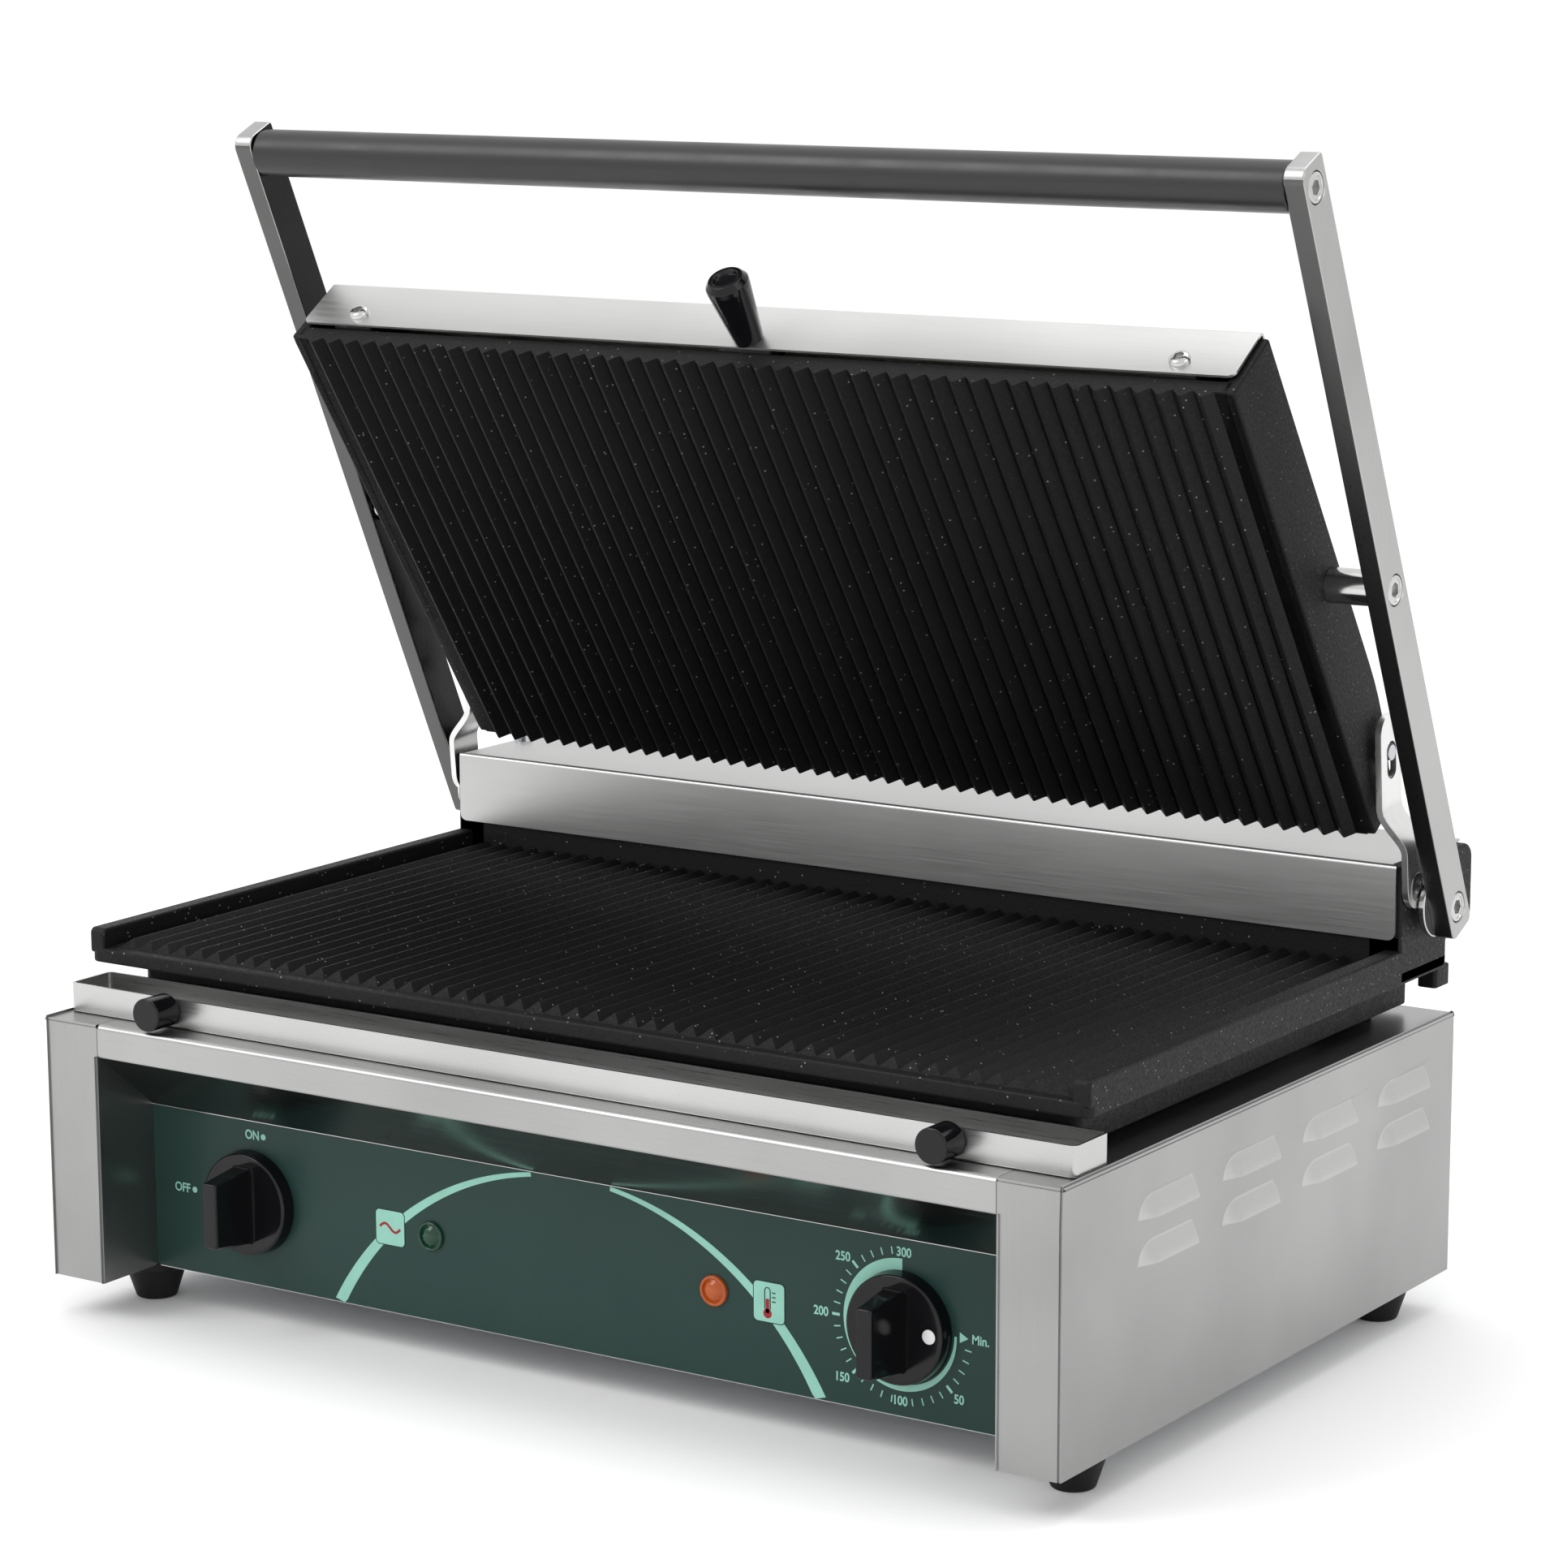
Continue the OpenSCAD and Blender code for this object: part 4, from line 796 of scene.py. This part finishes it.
def knobBody():
    skirt = [(0, -knob["skirt"] + 0.5), (12, -knob["skirt"] + 0.35), (17.6, -knob["skirt"])]
    skirt += rounded([(17.6, -knob["skirt"]), (19.4, -knob["skirt"]), (knob["radius"], 0)],
                     [0, 0.9, 0], 5, False)[1:] + [(0, 0)]
    sections = [(y, rounded(box2d(-wide / 2, wide / 2, -long / 2, long / 2),
                            knob["gripCorner"], 4)) for y, wide, long in knob["grip"]]
    return [turned(skirt, "y", segments=72), stacked(sections, "y")]


for name, x, body, stands in (("powerKnob", panel["powerX"], "power_switch", ["power_knob"]),
                              ("dialKnob", panel["dialX"], "thermostat", ["thermostat_knob"])):
    builds = [moved(b, x, knob["back"], panel["controlZ"]) for b in knobBody()]
    makePiece(name, builds, toHousing, finishes["knob"], body, stands, 40)
dot = [(0, -5.5), (2.3, -5.5), (2.55, -5.35), (2.6, -5.1), (2.6, -4.4), (0, -4.4)]
makePiece("dialDot", [turned(dot, "y", (panel["dialX"] + 14, knob["back"], panel["controlZ"]))],
          toHousing, finishes["white"], "thermostat", ["thermostat_dot"])
print("controls made")

# drip tray

tray = {"halfWidth": 218, "front": 11.5, "depth": 22.5, "low": 100.05, "height": 11.15,
        "corner": 2.6, "sheet": 1.0}
build = prism(box2d(-tray["halfWidth"], tray["halfWidth"], tray["front"],
                    tray["front"] + tray["depth"]), tray["low"], tray["low"] + tray["height"], "z")
top = [f for f in build.faces if f.normal.z > 0.9]
bmesh.ops.delete(build, geom=top, context="FACES_ONLY")
soften(build, tray["corner"], 5, 30, lambda a, b: abs(a.z - b.z) > 5)
soften(build, 0.8, 3, 30, lambda a, b: a.z < tray["low"] + 0.01 and b.z < tray["low"] + 0.01)
trayShell = rawPiece("trayShell", [build])
settle(tool(trayShell, "SOLIDIFY", thickness=tray["sheet"], offset=-1, use_even_offset=True))
dress(trayShell, toHousing, finishes["tray"], "tray", ["drip_tray"], 40)
trayKnob = {"radius": 6.3, "flat": 4.9, "base": 5.7, "reach": 12.4, "x": 170, "z": 107}
profile = [(0, -trayKnob["reach"]), (trayKnob["flat"], -trayKnob["reach"])]
profile += rounded([profile[-1], (trayKnob["radius"], -trayKnob["reach"]),
                    (trayKnob["radius"], -0.9), (trayKnob["base"], 0)],
                   [0, 1.1, 0.5, 0], 5, False)[1:] + [(0, 0)]
builds = [turned(profile, "y", (sign * trayKnob["x"], tray["front"], trayKnob["z"]))
          for sign in (-1, 1)]
makePiece("trayKnobs", builds, toHousing, finishes["knob"], "tray",
          ["tray_knobs"], 50)

# castings

ribs = {"pitch": 8.25, "height": 3.0, "crest": 0.55, "root": 0.35}


def ribOutline(halfWidth, count, base, flat):  # toothed outline, teeth upwards from flat
    points = [(-halfWidth, base), (-halfWidth, flat)]
    start = -count * ribs["pitch"] / 2
    for i in range(count):
        x = start + i * ribs["pitch"]
        middle = x + ribs["pitch"] / 2
        points += [(x + ribs["root"], flat), (middle - ribs["crest"], flat + ribs["height"] - 0.2),
                   (middle - ribs["crest"] * 0.4, flat + ribs["height"]),
                   (middle + ribs["crest"] * 0.4, flat + ribs["height"]),
                   (middle + ribs["crest"], flat + ribs["height"] - 0.2),
                   (x + ribs["pitch"] - ribs["root"], flat)]
    return points + [(halfWidth, flat), (halfWidth, base)]


lower = {"half": 217, "front": 22, "back": 289, "flange": 117.5, "lip": 123, "rim": 7,
         "rimTop": 130.6, "wallFront": 250.5, "wallBack": 257, "wallTop": 137, "ribs": 50,
         "ribFront": 27, "skirtLow": 103, "skirtHalf": 204, "skirtFront": 37, "skirtBack": 285,
         "earThick": 14, "earBack": 310, "earLow": 130, "earTop": 162,
         "block": (208, 216, 283, 295), "blockLow": 110, "padX": 188, "padY": (62, 262)}


def lowerRibs():
    flat = lower["lip"] + 0.4
    build = prism(ribOutline(lower["half"] - lower["rim"], lower["ribs"], lower["lip"] - 2, flat),
                  lower["ribFront"], lower["wallFront"] + 0.5, "y")
    for v in build.verts:
        if v.co.y < lower["ribFront"] + 1 and v.co.z > flat + 0.01:
            v.co.y = lower["ribFront"] + (v.co.z - flat) * 1.05
    return closeUp(build)


def earOutline():
    return rounded([(lower["wallFront"], lower["flange"]), (lower["back"], lower["flange"]),
                    (lower["back"], lower["earLow"]), (lower["earBack"], lower["earLow"]),
                    (lower["earBack"], lower["earTop"]), (lower["wallFront"], lower["earTop"])],
                   [0, 3, 3, 6, 6, 3], 5)


def lowerCasting():
    half, rim = lower["half"], lower["rim"]
    plan = rounded(box2d(-half, half, lower["front"], lower["back"]), [4, 4, 1, 1], 5)
    parts = [soften(prism(plan, lower["flange"], lower["lip"], "z"), 0.9, 3)]
    skirtPlan = rounded(box2d(-lower["skirtHalf"], lower["skirtHalf"], lower["skirtFront"],
                              lower["skirtBack"]), 4, 4)
    parts.append(soften(prism(skirtPlan, lower["skirtLow"], lower["flange"] + 0.9, "z"), 0.8, 2))
    rimSide = rounded(box2d(lower["front"] + 0.2, lower["back"], lower["lip"] - 2,
                            lower["rimTop"]), [0, 0, 1.5, 2.2], 4)
    for sign in (-1, 1):
        low, high = sorted((sign * (half - rim), sign * (half - 0.02)))
        parts.append(soften(prism(rimSide, low, high, "x"), 1.1, 3))
    parts.append(lowerRibs())
    wall = rounded(box2d(lower["wallFront"], lower["wallBack"], lower["lip"] - 2,
                         lower["wallTop"]), [0, 0, 1.6, 1.6], 4)
    parts.append(prism(wall, -half + 1, half - 1, "x"))
    ear = soften(prism(earOutline(), half - lower["earThick"], half, "x"), 1.2, 3)
    parts += [mirrored(ear), ear]
    corner = soften(prism(rounded(box2d(*lower["block"]), 1.5, 3), lower["blockLow"],
                          lower["flange"] + 0.5, "z"), 0.6, 2)
    parts += [mirrored(corner), corner]
    for x in (-lower["padX"], lower["padX"]):
        for y in lower["padY"]:
            parts.append(turned([(0, 100), (10.6, 100), (11, 100.5), (11, 118), (0, 118)], "z",
                                (x, y, 0)))
    return parts


makePiece("lowerCasting", lowerCasting(), toHousing, finishes["iron"], "base",
          ["lower_plate"], 30)

upper = {"half": 205.5, "long": 207, "ribHeight": 3, "thick": 9.2, "wall": 5.5, "wallTop": 33,
         "backTop": 25, "ribs": 48, "screwX": 179.3, "front": -1.1, "bossFrom": 92, "bossTo": 116}


def wallOutline():
    top, back, long = upper["wallTop"], upper["backTop"], upper["long"]
    points = [(0, upper["ribHeight"]), (long, upper["ribHeight"]), (long, back - 8)]
    points += [(long - 8 + 8 * math.cos(math.radians(a)), back - 8 + 8 * math.sin(math.radians(a)))
               for a in (15, 30, 45, 60, 75)]
    points += [(150 + (long - 14 - 150) * (1 - k / 6), top - (top - back) * (1 - k / 6) ** 2)
               for k in range(7)]
    return points + [(0, top)]


def upperCasting():
    half, long = upper["half"], upper["long"]
    plan = rounded(box2d(-half, half, 0, long), 3, 4)
    parts = [soften(prism(plan, upper["ribHeight"], upper["thick"], "z"), 0.8, 3)]
    teeth = [(x, -z) for x, z in ribOutline(half - 3.4, upper["ribs"], -upper["ribHeight"] - 0.6,
                                            -upper["ribHeight"])]
    parts.append(prism(teeth, 0.02, long - 0.02, "y"))
    wall = soften(prism(wallOutline(), half - upper["wall"], half - 0.02, "x"), 1.0, 3)
    parts += [mirrored(wall), wall]
    for x in (-upper["screwX"], upper["screwX"]):
        parts.append(soften(prism(box2d(x - 9, x + 9, upper["front"], 14), 9, 27, "z"), 1, 2))
    boss = soften(prism(box2d(half - upper["wall"] - 8, half - 1, upper["bossFrom"],
                              upper["bossTo"]), 8.5, 32.5, "z"), 1, 2)
    parts += [mirrored(boss), boss]
    parts.append(soften(prism(box2d(-half + 4, half - 4, long - upper["wall"], long - 0.02), 8.5,
                              14, "z"), 1, 2))
    parts.append(soften(prism(box2d(-10, 14, upper["front"], 5.9), 8.5, 21, "z"), 1, 2))
    for x in (-100, 0, 100):
        for s in (60, 108):
            parts.append(turned([(0, 8.5), (6, 8.5), (6, 17.2), (0, 17.2)], "z", (x, s, 0)))
    return parts


makePiece("upperCasting", upperCasting(), toPlate, finishes["iron"], "lid_plate",
          ["upper_plate"], 30)
print("castings made")

# covers of folded sheet

cover = {"half": 203, "front": -2.1, "low": 9.4, "top": 34, "sheet": 0.95, "corner": 3}


def lowCorner(half, low, radius):  # path points and widths for a strip with rounded low corners
    points = []
    for k in range(6):
        turn = math.pi / 2 * k / 5
        points.append((low + radius * (1 - math.cos(turn)), half - radius * (1 - math.sin(turn))))
    return points


def coverSheet():
    half, front, top = cover["half"], cover["front"], cover["top"]
    path, widths = [], []
    for t, w in lowCorner(half, cover["low"], cover["corner"]):
        path.append((front, t))
        widths.append(w)
    line = [(front, 25), (front, top), (150, top)]
    line = rounded(line, [0, 1.6, 0], 5, False)[1:]
    line += [(150 + 43 * k / 6, top - 8 * (k / 6) ** 2) for k in range(1, 7)]
    line += [(199 + 8 * math.cos(math.radians(a)), 18 + 8 * math.sin(math.radians(a)))
             for a in (75, 60, 45, 30)]
    path += line
    widths += [half] * len(line)
    return bentSheet(path[::-1], [(-w, w) for w in widths[::-1]], cover["sheet"])


makePiece("coverSheet", [coverSheet()], toPlate, finishes["cover"], "lid_plate",
          ["upper_cover"], 35)

splash = {"half": 215, "flangeHalf": 213, "tailHalf": 202, "front": 249, "low": 134.6,
          "top": 163, "back": 308, "tailLow": 136, "corner": 3, "sheet": 1.0}


def splashSheet():
    path, widths = [], []
    for z, w in lowCorner(splash["half"], splash["low"], splash["corner"]):
        path.append((splash["front"], z))
        widths.append(w)
    top, back = splash["top"], splash["back"]
    bend = rounded([(splash["front"], 150), (splash["front"], top), (back - 1.1, top)],
                   [0, 1.6, 0], 5, False)[1:]
    tail = rounded([(back - 1, top), (back, top), (back, splash["tailLow"])], [0, 0.9, 0], 3,
                   False)[1:]
    path += bend + tail
    widths += ([splash["half"]] * 4 + [splash["flangeHalf"]] * (len(bend) - 4)
               + [splash["tailHalf"]] * len(tail))
    return bentSheet(path[::-1], [(-w, w) for w in widths[::-1]], splash["sheet"])


makePiece("splashSheet", [splashSheet()], toHousing, finishes["splash"], "base",
          ["splash_cover"], 35)
print("covers made")

# lid arms, screws and handle

arm = {"inner": 222.8, "thick": 8, "half": 8, "low": -10.5, "high": 305.5, "bore": 5.8,
       "sink": 3, "frontRound": 5, "lowRound": 3.2, "backRound": 1.2}


def screwHead(levels, hexAcross, axis):  # rings at (along, radius); None is the socket's hexagon
    build = bmesh.new()
    count = 48
    rings = []
    for along, reach in levels:
        ring = []
        for k in range(count):
            turn = 2 * math.pi * k / count
            part = (turn + math.pi / 6) % (math.pi / 3) - math.pi / 6
            r = hexAcross / 2 / math.cos(part) if reach is None else reach
            ring.append(build.verts.new(spot(axis, r * math.cos(turn), r * math.sin(turn),
                                             along)))
        rings.append(ring)
    for a, b in zip(rings, rings[1:]):
        for k in range(count):
            j = (k + 1) % count
            build.faces.new((a[k], a[j], b[j], b[k]))
    build.faces.new(rings[0])
    build.faces.new(rings[-1])
    return closeUp(build)


def socketHead(radius, tall, hexAcross):  # countersunk head flush with its hole, face at x = 0
    return screwHead([(-tall, radius), (-0.45, radius), (-0.12, radius - 0.2),
                      (0, radius - 0.55), (0, radius - 1.25), (-0.3, radius - 1.4),
                      (-0.3, None), (-tall + 0.5, None)], hexAcross, "x")


def armBar():
    half, low, high = arm["half"], arm["low"], arm["high"]
    outline = rounded([(-half, low), (half, low), (half, high), (-half, high)],
                      [arm["lowRound"], arm["lowRound"], arm["backRound"], arm["frontRound"]], 6)
    return soften(prism(outline, arm["inner"], arm["inner"] + arm["thick"], "x"), 0.7, 3, 50)


for sign, label in ((1, "right"), (-1, "left")):
    build = armBar()
    bores = []
    for z in (0, lid["pivot"], lid["handle"]):
        outer = arm["inner"] + arm["thick"]
        bores.append(turned([(0, outer - arm["sink"]), (arm["bore"], outer - arm["sink"]),
                             (arm["bore"], outer - 0.35), (arm["bore"] + 0.7, outer + 0.35),
                             (0, outer + 0.35)], "x", (0, 0, z), 48))
    if sign < 0:
        build = mirrored(build)
        bores = [mirrored(b) for b in bores]
    bar = rawPiece("armBar_" + label, [build])
    cutter = rawPiece("boreCutter", bores)
    settle(tool(bar, "BOOLEAN", operation="DIFFERENCE", object=cutter, solver="EXACT"))
    bpy.data.objects.remove(cutter)
    # front faces take the painted shade copy, inner faces the deeper painted shade copy
    dress(bar, toArm, [finishes["arm"], finishes["armShade"], finishes["armInnerShade"]], "lid_arms",
          ["arm_" + label], 35,
          lambda face, out=sign: 1 if face.normal.y < -0.9 else 2 if face.normal.x * out < -0.9
          and abs(face.center.x) < arm["inner"] + 1 else 0)

screwHeads = []
for z in (0, lid["handle"]):
    head = moved(socketHead(5.5, 2.9, 5), arm["inner"] + arm["thick"] - 0.15, 0, z)
    screwHeads += [mirrored(head), head]
makePiece("armScrews", screwHeads, toArm, finishes["bright"], "lid_arms",
          ["hinge_screws", "handle_screws"], 30)
head = moved(socketHead(5.5, 2.9, 5), arm["inner"] + arm["thick"] - 0.15, lid["pivotS"],
             lid["pivotT"])
makePiece("pivotScrews", [mirrored(head), head], toPlate, finishes["bright"], "lid_plate",
          ["pivot_bolts"], 30)

washer = rounded([(6, 220.2), (12, 220.2), (12, 222.8), (6, 222.8)], [0, 0.5, 0.5, 0], 3)
build = turned(washer, "x", tube=True)
makePiece("armWashers", [mirrored(build), build], toArm, finishes["bright"], "lid_arms",
          ["arm_washers"])

handle = {"radius": 9, "bore": 5.95, "half": 222.75}
profile = [(handle["bore"], -handle["half"])]
profile += [(handle["radius"] - drop, -handle["half"] + along)
            for drop, along in ((0.5, 0), (0.1, 0.4), (0, 1))]
profile += [(radius, -along) for radius, along in reversed(profile)]
makePiece("handleGrip", [turned(profile, "x", (0, 0, lid["handle"]), 72, True)], toArm,
          finishes["grip"], "lid_arms", ["handle_grip"])

spacer = rounded([(3, 205.4), (6.5, 205.4), (6.5, 222.7), (4.5, 222.7), (4.5, 227), (3, 227)],
                 [0, 0.3, 0.5, 0, 0, 0], 3)
build = turned(spacer, "x", (0, lid["pivotS"], lid["pivotT"]), tube=True)
makePiece("plateSpacers", [mirrored(build), build], toPlate, finishes["bright"], "lid_plate",
          ["plate_spacers"])

# slotted links

def linkStrap():
    half, low = linkSize["width"] / 2, 0
    top = linkSize["slotTo"] + 6
    slotHalf = linkSize["slotWidth"] / 2
    slotLow, slotHigh = linkSize["slotFrom"], linkSize["slotTo"]
    heights = [-half + half * (1 - math.cos(math.pi / 2 * k / 10)) for k in range(11)]
    heights += [2 * k for k in range(1, 19)]
    heights += [slotLow - slotHalf * math.cos(math.pi / 2 * k / 6) for k in range(7)]
    heights += [slotLow + (slotHigh - slotLow) * k / 3 for k in (1, 2)]
    heights += [slotHigh + slotHalf * math.sin(math.pi / 2 * k / 6) for k in range(7)]
    heights += [top + half * math.sin(math.pi / 2 * k / 10) for k in range(1, 11)]
    heights = sorted(set(round(h, 4) for h in heights))

    def width(z):
        if z < low:
            return math.sqrt(max(0.0, half ** 2 - (z - low) ** 2))
        if z > top:
            return math.sqrt(max(0.0, half ** 2 - (z - top) ** 2))
        return half

    def gap(z):
        if z < slotLow:
            return math.sqrt(max(0.0, slotHalf ** 2 - (slotLow - z) ** 2))
        if z > slotHigh:
            return math.sqrt(max(0.0, slotHalf ** 2 - (z - slotHigh) ** 2))
        return slotHalf

    def shift(z):
        t = min(1, max(0, (z - linkSize["jogFrom"]) / (linkSize["jogTo"] - linkSize["jogFrom"])))
        return linkSize["outer"] + (linkSize["inner"] - linkSize["outer"]) * t * t * (3 - 2 * t)
    build = bmesh.new()
    rows = []
    for z in heights:
        w, g, c = width(z), gap(z), linkSize["slotShift"] if gap(z) > 0 else 0.0
        ys = (-w, min(w, max(-w, c - g)), min(w, max(-w, c + g)), w)
        rows.append([build.verts.new((shift(z) + linkSize["thick"], y, z)) for y in ys])
    for a, b in zip(rows, rows[1:]):
        for left, right in ((0, 1), (2, 3)):
            build.faces.new((a[left], a[right], b[right], b[left]))
    bmesh.ops.remove_doubles(build, verts=build.verts, dist=0.0005)
    bmesh.ops.recalc_face_normals(build, faces=build.faces)
    if sum(f.normal.x for f in build.faces) < 0:
        bmesh.ops.reverse_faces(build, faces=build.faces)
    return build


for sign, label in ((1, "right"), (-1, "left")):
    build = linkStrap()
    if sign < 0:
        build = mirrored(build)
    strap = rawPiece("linkStrap_" + label, [build])
    settle(tool(strap, "SOLIDIFY", thickness=linkSize["thick"], offset=-1,
                use_even_offset=False))
    settle(tool(strap, "BEVEL", width=linkSize["edge"], segments=3, limit_method="ANGLE",
                angle_limit=math.radians(50)))
    dress(strap, toLink, finishes["link"], "link_r" if sign > 0 else "link_l",
          ["link_" + label], 40)

head = moved(socketHead(5.5, 2.6, 5), 219.8 + 0.35, 0, 0)
shank = turned([(0, 203.5), (4, 203.5), (4, 217.3), (0, 217.3)], "x")
makePiece("linkScrews", [mirrored(head), head, mirrored(shank), shank], toLink,
          finishes["spring"], "base", ["link_screws"], 30)
print("arms and links made")

# lift knob and button screws on the lid's front

lift = {"x": 2, "t": 14.6, "front": -2.1}
profile = [(0, -26.3), (3.6, -26.2), (4.3, -26.35)]
profile += rounded([(4.3, -26.35), (4.9, -27.6), (6.5, -27.6), (8.15, -25.4), (8.15, -23.4),
                    (5.5, 0)], [0.3, 0.4, 0.4, 0.5, 0.8, 0], 4, False)[1:] + [(0, 0)]
makePiece("liftKnob", [turned(profile, "y", (lift["x"], lift["front"], lift["t"]), 64)], toPlate,
          finishes["knob"], "lid_plate", ["lift_knob"], 50)


def buttonHead(radius, tall):  # low dome with a six-sided socket, its base at y = 0
    return screwHead([(0, radius), (-tall * 0.25, radius), (-tall * 0.6, radius * 0.93),
                      (-tall * 0.82, radius * 0.8), (-tall * 0.94, radius * 0.66),
                      (-tall, None), (-tall * 0.2, None)], radius * math.sqrt(3) / 2, "y")


heads = [moved(buttonHead(4.0, 2.2), x, cover["front"], 16.1)
         for x in (-upper["screwX"], upper["screwX"])]
makePiece("coverScrews", heads, toPlate, finishes["bright"], "lid_plate",
          ["cover_screws"], 30)
print("small parts made")

# floor, light and camera

floorMesh = bpy.data.meshes.new("studioFloor")
build = bmesh.new()
bmesh.ops.create_circle(build, cap_ends=True, radius=14, segments=64)
build.to_mesh(floorMesh)
floor = bpy.data.objects.new("studioFloor", floorMesh)
bpy.context.scene.collection.objects.link(floor)
floorPaint, tree, shader = startMaterial("floorPaint")
mottle = node(tree, "ShaderNodeTexNoise", Scale=1.5, Detail=2.0)
tree.links.new(mixColour(tree, mottle.outputs["Fac"], (0.9, 0.9, 0.9, 1), (0.93, 0.93, 0.93, 1)),
               shader.inputs["Base Color"])
shader.inputs["Roughness"].default_value = 0.9
floorMesh.materials.append(floorPaint)

world = bpy.data.worlds.new("studioWorld")
world.use_nodes = True
world.node_tree.nodes["Background"].inputs["Color"].default_value = (1, 1, 1, 1)
world.node_tree.nodes["Background"].inputs["Strength"].default_value = 1.09
bpy.context.scene.world = world

lights = {
    "keyLight": ((-1.6, -1.9, 2.4), (0, 0, 0.15), 1.6, 34),
    "sideLight": ((2.4, -0.6, 1.3), (0.1, 0, 0.15), 1.4, 6),
    "topLight": ((0.1, 0.5, 2.6), (0, 0, 0.1), 1.8, 18),
}
for name, (spotAt, target, size, power) in lights.items():
    data = bpy.data.lights.new(name, "AREA")
    data.size = size
    data.energy = power
    lampObject = bpy.data.objects.new(name, data)
    lampObject.location = spotAt
    aim = Vector(target) - Vector(spotAt)
    lampObject.rotation_euler = aim.to_track_quat("-Z", "Y").to_euler()
    bpy.context.scene.collection.objects.link(lampObject)

view = {"at": (0.9409, -1.4020, 0.5188), "azimuth": 33.406, "elevation": 11.621,
        "roll": -0.151, "focal": 105.95, "shift": (-0.01, 0.05)}
azimuth, elevation = math.radians(view["azimuth"]), math.radians(view["elevation"])
forward = Vector((-math.sin(azimuth) * math.cos(elevation),
                  math.cos(azimuth) * math.cos(elevation), -math.sin(elevation)))
across = Vector((math.cos(azimuth), math.sin(azimuth), 0))
upward = across.cross(forward)
roll = math.radians(view["roll"])
right = across * math.cos(roll) + upward * math.sin(roll)
above = upward * math.cos(roll) - across * math.sin(roll)
cameraData = bpy.data.cameras.new("camera")
cameraData.sensor_fit = "HORIZONTAL"
cameraData.sensor_width = 36
cameraData.lens = view["focal"]
cameraData.shift_x, cameraData.shift_y = view["shift"]
cameraData.clip_end = 40
camera = bpy.data.objects.new("camera", cameraData)
turn = Matrix((right, above, -forward)).transposed().to_4x4()
camera.matrix_world = Matrix.Translation(view["at"]) @ turn
bpy.context.scene.collection.objects.link(camera)
bpy.context.scene.camera = camera
bpy.context.scene.view_settings.view_transform = "Standard"
print("stage made")
